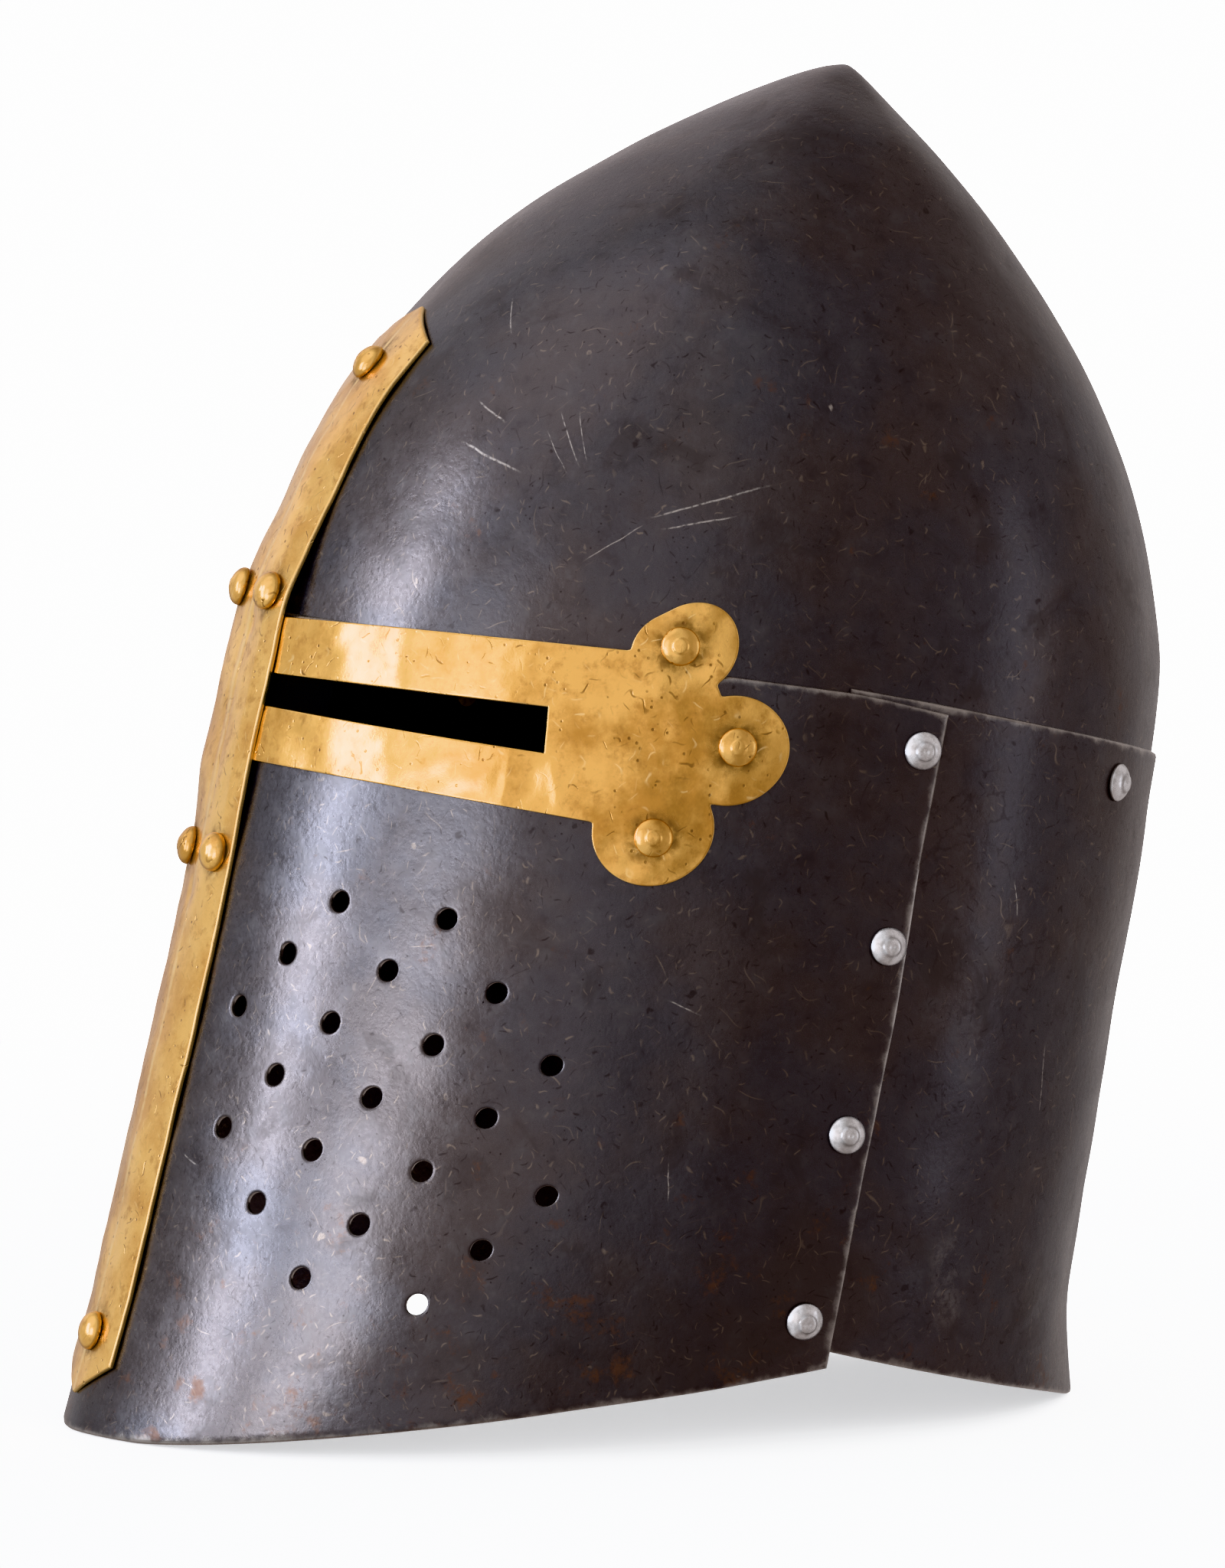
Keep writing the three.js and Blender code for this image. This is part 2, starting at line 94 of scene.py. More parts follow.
def helm_surface(turn, level):
    """The outside of the skull, carried on down to the neck. Turn goes from 0 at the ridge over 1 at the
    widest place to 2 at the back, negative on the wearer's right. Each section is two Bezier quarters,
    tilted so that it is lower at the back; the keel and the tip are rounded by hyperbolas."""
    turn, level = np.broadcast_arrays(np.asarray(turn, float), np.asarray(level, float))
    ridge = section_column(level, 1)
    depth = section_column(level, 2) - ridge
    width = section_column(level, 4)
    keel = np.radians(section_column(level, 5))
    widest = WIDEST * depth
    way = np.abs(turn)
    front = np.clip(way, 0, 1)
    back = np.clip(way - 1, 0, 1)
    front_x = quarter_curve(0, KEEL_FULLNESS * width * np.cos(keel), width, width, front)
    front_y = quarter_curve(0, KEEL_FULLNESS * width * np.sin(keel), CHEEK_FULLNESS * widest, widest, front)
    rounding = np.tan(keel) * (np.hypot(front_x, KEEL_ROUNDING) - front_x)
    front_y = front_y + rounding * np.minimum(width / NARROW, 1)
    back_x = quarter_curve(width, width, BACK_FULLNESS * width, 0, back)
    back_y = quarter_curve(widest, widest + SIDE_FULLNESS * (depth - widest), depth, depth, back)
    x = np.where(way <= 1, front_x, back_x)
    along = np.where(way <= 1, front_y, back_y)
    sharp_z = level + along / np.maximum(depth, 1e-6) * (section_column(level, 3) - level)
    drop = APEX_LEVEL - sharp_z
    z = sharp_z - (np.hypot(drop, TIP_ROUNDING) - drop)
    return np.stack([np.sign(turn) * x, ridge + along, z], -1)


def ripples(points, wavelength, seed):
    """Unevenness of hand work, about one unit high: sixteen cosine waves with random directions."""
    random = np.random.default_rng(seed)
    directions = random.normal(size=(16, 3))
    directions /= np.linalg.norm(directions, axis=1, keepdims=True)
    phases = random.uniform(0, 2 * np.pi, 16)
    return np.cos(points @ directions.T * (2 * np.pi / wavelength) + phases).sum(-1) / np.sqrt(8)


# Small steps of turn and level, from which the surface's normal is worked out.
NEAR_TURN = 0.002
NEAR_LEVEL = 0.05


def stand_off(turn, level, height):
    """A point at a height above the helm's surface, along the normal, which is the cross product of the
    steps round and up. The surface is uneven by a few tenths of a millimetre, as hammered sheet is."""
    top = APEX_LEVEL - 0.02
    place = helm_surface(turn, level)
    across = helm_surface(np.minimum(turn + NEAR_TURN, 2), level)
    across = across - helm_surface(np.maximum(turn - NEAR_TURN, -2), level)
    upward = helm_surface(turn, np.minimum(level + NEAR_LEVEL, top))
    upward = upward - helm_surface(turn, np.clip(level - NEAR_LEVEL, 0, top - NEAR_LEVEL))
    normal = np.cross(across, upward)
    normal /= np.linalg.norm(normal, axis=-1, keepdims=True) + 1e-12
    uneven = 0.22 * ripples(place, 62, 3) + 0.07 * ripples(place, 24, 4)
    return place + normal * (height + uneven)[..., None]


NO_TRIANGLES = np.zeros((0, 3), int)


def free_edges(quads, triangles=NO_TRIANGLES):
    """The edges that only one face has, as pairs of corner numbers."""
    edges = [quads[:, [side, (side + 1) % 4]] for side in range(4)]
    edges += [triangles[:, [side, (side + 1) % 3]] for side in range(3)]
    edges = np.concatenate(edges)
    _, first, uses = np.unique(np.sort(edges, 1), axis=0, return_index=True, return_counts=True)
    return edges[first[uses == 1]]


def thick_sheet(outside, inside, quads, triangles=NO_TRIANGLES):
    """Joins two lists of points with the same faces, the outside and the inside of a sheet: the inside's
    faces are turned round, and a wall closes each free edge."""
    count = len(outside)
    free = free_edges(quads, triangles)
    walls = np.stack([free[:, 1], free[:, 0], free[:, 0] + count, free[:, 1] + count], -1)
    faces = np.concatenate([quads, quads[:, ::-1] + count, walls]).tolist()
    faces += np.concatenate([triangles, triangles[:, ::-1] + count]).tolist()
    return np.concatenate([outside, inside]), faces


MILLIMETRE = 0.001
# Edges bent by more degrees than this stay sharp.
SHARP_BEND = 48


def put_piece(name, points, faces, material, node, marks=None, flat=None):
    """Makes a smooth mesh from points in millimetres, with its marks as attributes and its flat pattern
    as a UV map, and lets it stand for its solid."""
    mesh = bpy.data.meshes.new(name)
    mesh.from_pydata((points * MILLIMETRE).tolist(), [], faces)
    for mark, values in (marks or {}).items():
        layer = mesh.attributes.new(mark, "FLOAT", "POINT")
        layer.data.foreach_set("value", np.ascontiguousarray(values, np.float32))
    if flat is not None:
        corners = np.zeros(len(mesh.loops), np.int32)
        mesh.loops.foreach_get("vertex_index", corners)
        pattern = (flat[corners] * MILLIMETRE).astype(np.float32)
        mesh.uv_layers.new(name="flat").data.foreach_set("uv", pattern.ravel())
    mesh.materials.append(material)
    mesh.shade_smooth()
    mesh.set_sharp_from_angle(angle=np.radians(SHARP_BEND))
    piece = bpy.data.objects.new(name, mesh)
    bpy.context.scene.collection.objects.link(piece)
    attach(piece, "root")
    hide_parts(node)


def add_node(tree, kind, settings=None, **inputs):
    """Adds a shader node: settings are its own choices, inputs are values or sockets to link."""
    made = tree.nodes.new(kind)
    for key, value in (settings or {}).items():
        setattr(made, key, value)
    for key, value in inputs.items():
        socket = made.inputs[int(key[1:])] if key[0] == "i" and key[1:].isdigit() else made.inputs[key]
        if isinstance(value, bpy.types.NodeSocket):
            tree.links.new(value, socket)
        else:
            socket.default_value = value
    return made


def clouds(tree, place, scale, detail=4.0, roughness=0.55, distortion=0.0):
    """Noise between 0 and 1, with so many clouds in a metre."""
    made = add_node(tree, "ShaderNodeTexNoise", Vector=place, Scale=scale, Detail=detail,
                    Roughness=roughness, Distortion=distortion)
    return made.outputs["Fac"]


def between(tree, value, low, high):
    """0 below low and 1 above high, smooth between them."""
    made = add_node(tree, "ShaderNodeMapRange", {"interpolation_type": "SMOOTHSTEP"},
                    Value=value, i1=low, i2=high, i3=0.0, i4=1.0)
    return made.outputs["Result"]


def spread(tree, value, low, high):
    """Noise, which mostly lies between 0.3 and 0.7, stretched to run from low to high."""
    made = add_node(tree, "ShaderNodeMapRange", Value=value, i1=0.3, i2=0.7, i3=low, i4=high)
    return made.outputs["Result"]


def reckon(tree, way, first, second=0.0):
    made = add_node(tree, "ShaderNodeMath", {"operation": way}, i0=first, i1=second)
    return made.outputs[0]


def times(tree, first, second):
    return reckon(tree, "MULTIPLY", first, second)


def plus(tree, first, second):
    return reckon(tree, "ADD", first, second)


def larger(tree, first, second):
    return reckon(tree, "MAXIMUM", first, second)


def reckon_places(tree, way, *places):
    """Works with places and directions. A dot product or a length gives one value, all else a place."""
    inputs = {"i" + str(number): place for number, place in enumerate(places)}
    made = add_node(tree, "ShaderNodeVectorMath", {"operation": way}, **inputs)
    return made.outputs["Value" if way in ("DOT_PRODUCT", "LENGTH") else "Vector"]


def blend_colour(tree, share, first, second):
    made = add_node(tree, "ShaderNodeMix", {"data_type": "RGBA"}, i0=share, i6=first, i7=second)
    return made.outputs[2]


def marked(tree, mark):
    """One of the marks that the mesh carries at its points, such as wear."""
    return add_node(tree, "ShaderNodeAttribute", {"attribute_name": mark}).outputs["Fac"]


def scratch_field(tree, place, cells, width, share):
    """Short scratches in all directions, one to each cell of a scatter of points: the places of the cell
    that lie close to a plane through its point, turned at random, and not far from the point. So many cells
    go to a metre. A share of them has a scratch, half of these bright and half dark, some of them faint."""
    wander = add_node(tree, "ShaderNodeTexNoise", Vector=place, Scale=cells * 0.6, Detail=1.0)
    sway = reckon_places(tree, "MULTIPLY_ADD", wander.outputs["Color"], (1.1 / cells,) * 3, place)
    scatter = add_node(tree, "ShaderNodeTexVoronoi", Vector=sway, Scale=cells)
    chance = add_node(tree, "ShaderNodeTexWhiteNoise", Vector=scatter.outputs["Position"])
    away = reckon_places(tree, "SUBTRACT", sway, scatter.outputs["Position"])
    lean = reckon_places(tree, "SUBTRACT", chance.outputs["Color"], (0.5,) * 3)
    aside = reckon_places(tree, "DOT_PRODUCT", away, reckon_places(tree, "NORMALIZE", lean))
    reach = reckon_places(tree, "LENGTH", away)
    line = between(tree, reckon(tree, "ABSOLUTE", aside), width, width * 0.3)
    line = times(tree, line, between(tree, reach, 0.6 / cells, 0.25 / cells))
    bright = times(tree, line, between(tree, chance.outputs["Value"], 1.0 - share / 2, 1.05))
    dark = times(tree, line, between(tree, chance.outputs["Value"], share / 2, -0.05))
    return bright, dark


# The share of noise in the flat pattern, which makes long scratches waver.
SHAKE = 0.0015


def scratch(tree, pattern, start, end, width):
    """A scratch between two places of the flat pattern, in millimetres: the pattern, already shaken a
    little, is moved and turned so that the scratch lies along x, and its ends and sides fade out."""
    start = np.array(start, float)
    end = np.array(end, float)
    half = np.linalg.norm(end - start) / 2 * MILLIMETRE
    side = width * MILLIMETRE
    angle = np.arctan2(end[1] - start[1], end[0] - start[0])
    middle = (start + end) / 2 * MILLIMETRE
    turned = add_node(tree, "ShaderNodeMapping", {"vector_type": "TEXTURE"}, Vector=pattern,
                      Location=(*(middle * (1 - SHAKE) + SHAKE / 2), 0), Rotation=(0, 0, angle))
    parts = add_node(tree, "ShaderNodeSeparateXYZ", Vector=turned.outputs[0])
    along = between(tree, reckon(tree, "ABSOLUTE", parts.outputs[0]), half, half / 2)
    aside = between(tree, reckon(tree, "ABSOLUTE", parts.outputs[1]), side, side / 3)
    return times(tree, along, aside)


def new_metal(name):
    """A new metal, its shader tree, and the place of each point of the helm."""
    material = bpy.data.materials.new(name)
    material.use_nodes = True
    tree = material.node_tree
    tree.nodes["Principled BSDF"].inputs["Metallic"].default_value = 1.0
    place = add_node(tree, "ShaderNodeTexCoord").outputs["Object"]
    return material, tree, place


def finish_metal(tree, colour, gloss, relief, strength, depth):
    """Gives a metal its colour, its roughness, and a relief of some strength and depth in metres."""
    shader = tree.nodes["Principled BSDF"]
    bump = add_node(tree, "ShaderNodeBump", Height=relief, Strength=strength, Distance=depth)
    tree.links.new(colour, shader.inputs["Base Color"])
    tree.links.new(gloss, shader.inputs["Roughness"])
    tree.links.new(bump.outputs[0], shader.inputs["Normal"])


def blackened_steel(name, scratches=(), rust=0.0, scuffs=(), cracked=0.0):
    """Blackened sheet steel: brown-black and violet-black clouds, stains, pits, a web of fine scratches,
    rust that gathers low down, bare metal where edges and scratches are worn, and painted shade, near black
    and matt, where the mesh is marked."""
    material, tree, place = new_metal(name)

    # Clouds in the blackening, and stains and smears of old oil on it.
    mottle = clouds(tree, place, 130.0, 6.0, 0.68)
    grain = clouds(tree, place, 900.0, 3.0, 0.6)
    colour = blend_colour(tree, between(tree, clouds(tree, place, 21.0, 5.0, 0.6), 0.4, 0.62),
                          (0.098, 0.093, 0.1, 1), (0.104, 0.092, 0.092, 1))
    pale = times(tree, between(tree, mottle, 0.5, 0.75), 0.4)
    colour = blend_colour(tree, pale, colour, (0.136, 0.13, 0.132, 1))
    deep = times(tree, between(tree, mottle, 0.48, 0.25), 0.5)
    colour = blend_colour(tree, deep, colour, (0.07, 0.064, 0.066, 1))
    smears = between(tree, clouds(tree, place, 15.0, 6.0, 0.66, 1.0), 0.54, 0.66)
    stains = between(tree, clouds(tree, place, 40.0, 5.0, 0.62, 0.8), 0.57, 0.68)
    stains = larger(tree, times(tree, stains, 0.4), times(tree, smears, 0.3))
    colour = blend_colour(tree, stains, colour, (0.062, 0.054, 0.052, 1))

    # Pits, fine scratches and, on a cracked plate, a web of veins.
    cells = add_node(tree, "ShaderNodeTexVoronoi", Vector=place, Scale=420.0)
    lone = between(tree, clouds(tree, place, 70.0, 3.0), 0.45, 0.58)
    pits = times(tree, between(tree, cells.outputs["Distance"], 0.16, 0.06), lone)
    bright_short, dark_lines = scratch_field(tree, place, 420.0, 0.00018, 1.0)
    bright_long, dark_long = scratch_field(tree, place, 140.0, 0.00015, 0.7)
    dark_lines = larger(tree, dark_lines, times(tree, dark_long, 0.7))
    if cracked:
        bend = add_node(tree, "ShaderNodeTexNoise", Vector=place, Scale=190.0, Detail=3.0)
        bent = reckon_places(tree, "MULTIPLY_ADD", bend.outputs["Color"], (0.007,) * 3, place)
        web = add_node(tree, "ShaderNodeTexVoronoi", {"feature": "DISTANCE_TO_EDGE"},
                       Vector=bent, Scale=140.0)
        veins = times(tree, between(tree, web.outputs["Distance"], 0.07, 0.02), cracked)
        veins = times(tree, veins, between(tree, clouds(tree, place, 60.0, 6.0, 0.65), 0.52, 0.62))
        dark_lines = larger(tree, veins, dark_lines)
    dark = times(tree, larger(tree, pits, dark_lines), 0.7)
    colour = blend_colour(tree, dark, colour, (0.042, 0.036, 0.035, 1))
    fine = times(tree, larger(tree, bright_short, bright_long), 0.55)
    colour = blend_colour(tree, fine, colour, (0.26, 0.215, 0.18, 1))

    # Rust in spots, more of them in the lowest 110 mm.
    height = add_node(tree, "ShaderNodeSeparateXYZ", Vector=place).outputs[2]
    low = between(tree, height, 0.11, 0.0)
    rusty = plus(tree, clouds(tree, place, 75.0, 6.0, 0.72), times(tree, low, rust))
    rusty = times(tree, between(tree, rusty, 0.63, 0.76), 0.7)
    colour = blend_colour(tree, rusty, colour, (0.135, 0.078, 0.055, 1))

    # Bare metal along the long scratches, in the scuffs and on worn edges.
    flat = add_node(tree, "ShaderNodeUVMap", {"uv_map": "flat"}).outputs[0]
    shaky = add_node(tree, "ShaderNodeTexNoise", Vector=flat, Scale=90.0, Detail=2.0)
    pattern = add_node(tree, "ShaderNodeMix", {"data_type": "VECTOR"}, i0=SHAKE, i4=flat,
                       i5=shaky.outputs["Color"]).outputs[1]
    bare = 0.0
    for start, end, width in scratches:
        bare = larger(tree, bare, scratch(tree, pattern, start, end, width))
    for start, end, width in scuffs:
        patch = times(tree, scratch(tree, pattern, start, end, width), between(tree, mottle, 0.45, 0.6))
        bare = larger(tree, bare, times(tree, patch, 0.16))
    bare = times(tree, bare, between(tree, clouds(tree, flat, 700.0, 3.0), 0.3, 0.6))
    ragged = spread(tree, clouds(tree, place, 210.0, 5.0), -0.25, 0.2)
    worn = between(tree, plus(tree, marked(tree, "wear"), ragged), 0.25, 0.9)
    colour = blend_colour(tree, larger(tree, bare, worn), colour, (0.38, 0.35, 0.33, 1))

    # Painted shade over all of it, near black and matt where the mesh is marked, then the gloss and the
    # relief.
    painted_shade = marked(tree, "painted_shade")
    colour = blend_colour(tree, painted_shade, colour, (0.004, 0.004, 0.004, 1))
    gloss = plus(tree, spread(tree, mottle, 0.22, 0.32), spread(tree, grain, -0.03, 0.04))
    gloss = plus(tree, gloss, times(tree, larger(tree, rusty, stains), 0.12))
    gloss = plus(tree, gloss, times(tree, painted_shade, 0.6))
    dimples = clouds(tree, place, 430.0, 3.0)
    relief = plus(tree, times(tree, mottle, 0.6), times(tree, grain, 0.22))
    relief = plus(tree, relief, times(tree, dimples, 0.4))
    finish_metal(tree, colour, gloss, relief, 0.75, 0.0002)
    return material


def grid_quads(rows, columns):
    """The four corner numbers of each cell of a grid that is numbered row by row."""
    number = np.arange(rows * columns).reshape(rows, columns)
    return np.stack([number[:-1, :-1], number[:-1, 1:], number[1:, 1:], number[1:, :-1]], -1)


def ring_quads(rings, corners):
    """The same for closed rings, in which the last corner is joined to the first."""
    quads = grid_quads(rings, corners + 1)
    return ((quads // (corners + 1)) * corners + quads % (corners + 1) % corners).reshape(-1, 4)


def smooth_step(value, low, high):
    """0 below low and 1 above high, with a cubic between them."""
    t = np.clip((value - low) / (high - low), 0, 1)
    return t * t * (3 - 2 * t)


# Millimetres round the helm, at the brow, for one unit of turn.
GIRTH_OF_TURN = 203
SKULL_RIM = 206
SKULL_RIM_FALL = 18


def make_skull():
    """Rings from the rim to the tip. The rim is level over the eye slits and drops behind the arms' lobes;
    columns stand closer at the ridge, and a fan of triangles closes the tip."""
    columns = 288
    rows = 104
    share = np.linspace(-1, 1, columns + 1)[:-1]
    turn = 2 * np.sign(share) * np.abs(share) ** 1.25
    rim = SKULL_RIM - SKULL_RIM_FALL * smooth_step(np.abs(turn) * GIRTH_OF_TURN, 170, 198)
    rise = np.sin(np.linspace(0, 0.985, rows) * np.pi / 2)[:, None]
    level = rim + (APEX_LEVEL - rim) * rise
    turn = np.broadcast_to(turn, level.shape)
    tip = np.array([[0, SECTIONS[-1, 1], APEX_LEVEL - TIP_ROUNDING]])
    outside = stand_off(turn, level, np.zeros_like(level)).reshape(-1, 3)
    inside = stand_off(turn, level, np.full_like(level, -STEEL)).reshape(-1, 3)
    outside = np.concatenate([outside, tip])
    inside = np.concatenate([inside, tip - [0, 0, STEEL]])
    last = (rows - 1) * columns + np.arange(columns)
    fan = np.stack([last, np.roll(last, -1), np.full(columns, rows * columns)], -1)
    points, faces = thick_sheet(outside, inside, ring_quads(rows, columns), fan)
    flat = np.stack([turn * GIRTH_OF_TURN, level], -1).reshape(-1, 2)
    flat = np.concatenate([flat, [[0, APEX_LEVEL]]] * 2)
    return points, faces, flat


# Scratches that the dome carries on the wearer's left: start and end as girth and level, and half the width.
SKULL_SCRATCHES = [
    ((54, 265), (80, 258.5), 0.36),
    ((54, 275), (68, 270), 0.26),
    ((120, 252), (156, 265), 0.3),
    ((125, 250), (147, 256), 0.26),
    ((40, 300), (52, 291), 0.22),
    ((84, 275), (97, 262), 0.2),
    ((82, 270), (94, 260), 0.16),
    ((90, 276), (99, 263), 0.16),
    ((105, 239), (121, 251), 0.18),
    ((168, 284), (169, 285), 1.2),
]
skull_points, skull_faces, skull_flat = make_skull()
skull_marks = {"wear": np.zeros(len(skull_points)), "painted_shade": np.zeros(len(skull_points))}
put_piece("skull_steel", skull_points, skull_faces, blackened_steel("blackened_steel_skull", SKULL_SCRATCHES),
          "skull", skull_marks, skull_flat)


# Back plate: half a ring of the same sheet, lapped over the skull's rim, with a slightly flared neck edge.
# Its front edges lie under the front plate, and the front top corners just show above it.
LEVEL_STEP = 2.0
GIRTH_STEP = 1.0
girth_levels = np.arange(0, APEX_LEVEL, LEVEL_STEP)
girth_turns = np.linspace(0, 2, 401)
girth_points = helm_surface(girth_turns[None], girth_levels[:, None])
girth_sums = np.cumsum(np.linalg.norm(np.diff(girth_points, axis=1), axis=2), axis=1)
girth_sums = np.pad(girth_sums, ((0, 0), (1, 0)))
girth_steps = np.arange(0, 381, GIRTH_STEP)
girth_table = np.stack([np.interp(girth_steps, sums, girth_turns) for sums in girth_sums])


def turn_at(girth, level):
    """The turn at which a section reaches a girth, in millimetres round the helm from the ridge: read from
    a table of summed chords, straight between its entries."""
    row = np.clip(level / LEVEL_STEP, 0, len(girth_levels) - 1.001)
    column = np.clip(np.abs(girth) / GIRTH_STEP, 0, len(girth_steps) - 1.001)
    below = row.astype(int)
    before = column.astype(int)
    up = row - below
    on = column - before
    low = girth_table[below, before] * (1 - on) + girth_table[below, before + 1] * on
    high = girth_table[below + 1, before] * (1 - on) + girth_table[below + 1, before + 1] * on
    return np.sign(girth) * (low * (1 - up) + high * up)


def edge_drop(distance, radius):
    """How far a rounded edge lies below its sheet: a quarter circle of the radius."""
    inward = np.clip(radius - distance, 0, radius)
    return radius - np.sqrt(radius ** 2 - inward ** 2)


def edged(low, high, count):
    """Values from low to high, with one more close to each end, where the edge is rounded."""
    share = np.linspace(0, 1, count)[:, None]
    inner = (low + 1) + (high - low - 2) * share
    return np.concatenate([low[None], low[None] + 0.3, inner, high[None] - 0.3, high[None]])


EDGE_RADIUS = 0.95
# How fast the bright wear fades away from an edge of the steel.
WEAR_REACH = 1.5
# The plates' top at the ridge, and the lower end of the seam where they meet.
PLATE_TOP = 216.4
REAR_BOTTOM = 215.5
SEAM_BOTTOM = 26.5
# The back plate's edges: girths of the front edge, the foot and the middle, and levels of the top.
BACK_FRONT_TOP = 181
BACK_FRONT_BOTTOM = 188
BACK_FOOT = 335
BACK_MIDDLE = 372
BACK_TOP = 217.6
BACK_TOP_FALL = 10.6


def make_back_plate():
    """A grid from the wearer's left over the back to the right. The neck edge comes down from the seam to
    the ground at the back, and the top edge falls evenly."""
    columns = 220
    share = np.linspace(0, 1, columns)
    near_back = 1 - np.abs(2 * share - 1)
    girth = BACK_FRONT_TOP + (BACK_MIDDLE - BACK_FRONT_TOP) * near_back
    bottom = SEAM_BOTTOM * np.clip((BACK_FOOT - girth) / (BACK_FOOT - REAR_BOTTOM), 0, 1.2) ** 1.15
    top = BACK_TOP - BACK_TOP_FALL * (girth - BACK_FRONT_TOP) / 190
    level = edged(bottom, top, 104)
    front = turn_at(BACK_FRONT_BOTTOM - (BACK_FRONT_BOTTOM - BACK_FRONT_TOP) * level / PLATE_TOP, level)
    side = np.where(share < 0.5, 1, -1)
    turn = side * (front + (2 - front) * near_back)
    distance = np.minimum(level - bottom, top - level)
    height = GAP + STEEL - edge_drop(distance, EDGE_RADIUS)
    outside = stand_off(turn, level, height).reshape(-1, 3)
    inside = stand_off(turn, level, np.full_like(level, GAP)).reshape(-1, 3)
    points, faces = thick_sheet(outside, inside, grid_quads(*level.shape).reshape(-1, 4))
    points[:, 2] = np.maximum(points[:, 2], 0)
    wear = np.exp(-distance / WEAR_REACH).ravel()
    flat = np.stack([side * girth * np.ones_like(level), level], -1).reshape(-1, 2)
    return points, faces, np.concatenate([wear, wear]), np.concatenate([flat, flat])


BACK_SCRATCHES = [((236, 170), (240, 158), 0.24), ((262, 120), (266, 96), 0.22)]
BACK_SCUFFS = [((234, 64), (243, 30), 7.0)]
back_points, back_faces, back_wear, back_flat = make_back_plate()
put_piece("back_plate_steel", back_points, back_faces,
          blackened_steel("blackened_steel_back", BACK_SCRATCHES, 0.05, BACK_SCUFFS, 0.45),
          "back_plate", {"wear": back_wear, "painted_shade": np.zeros(len(back_wear))}, back_flat)


# Front plate: half a ring bent to a keel in front, lapped over the skull and, at the sides, over the back
# plate. The eye slits are sawn out and the breath holes drilled before it is bent. A bridge is left over the
# nose, and where it shows in the brass arms' slits it is painted near black, as painted shade.
SLIT_START = 42
SLIT_END = 107
REAR_TOP = 208.2
# The lower edge rises from here to the seam.
FRONT_FOOT = 30
HOLE_RADIUS = 2.8
# Each strand of breath holes: girth and level of its highest hole, and how many holes it has.
BREATH_STRANDS = [(58, 145, 3), (90, 144, 5), (107, 126, 5), (125, 108, 5), (131, 73, 3)]
NEXT_HOLE_GIRTH = -13.6
NEXT_HOLE_LEVEL = -15.2
# The right-hand holes are drilled a little higher.
RIGHT_RISE = 2.5


def slit_top(girth):
    return 200 + 0.0216 * np.minimum(np.abs(girth), SLIT_END)


def slit_bottom(girth):
    return 192.3 - 0.0182 * np.minimum(np.abs(girth), SLIT_END)


def front_seat(girth):
    """Height of the plate's inside: close on the skull, and rising slowly to clear the back plate's edge."""
    return GAP + (STEEL + 0.15) * smooth_step(np.abs(girth), 148, BACK_FRONT_TOP)


def breath_holes():
    """Girth and level of the breath holes on both sides: five slanted strands, each from its highest hole."""
    strand_girth, strand_level, holes = np.array(BREATH_STRANDS).T
    strand = np.repeat(np.arange(len(holes)), holes.astype(int))
    step = np.concatenate([np.arange(count) for count in holes])
    girth = strand_girth[strand] + step * NEXT_HOLE_GIRTH
    level = strand_level[strand] + step * NEXT_HOLE_LEVEL
    return np.concatenate([girth, -girth]), np.concatenate([level, level + RIGHT_RISE])


def slit_distance(girth, level):
    """How far a place lies outside the eye slit's outline, and less than 0 inside it."""
    aside = np.maximum(SLIT_START - np.abs(girth), np.abs(girth) - SLIT_END)
    above = np.maximum(slit_bottom(girth) - level, level - slit_top(girth))
    return np.where((aside > 0) & (above > 0), np.hypot(aside, above), np.maximum(aside, above))


# Rings from the flat sheet to the rim of a breath hole: radius as a share of the hole's, and depth.
HOLE_RINGS = np.array([(1.36, 0), (1.2, 0.03), (1.1, 0.1), (1.03, 0.25), (1.0, 0.45)])


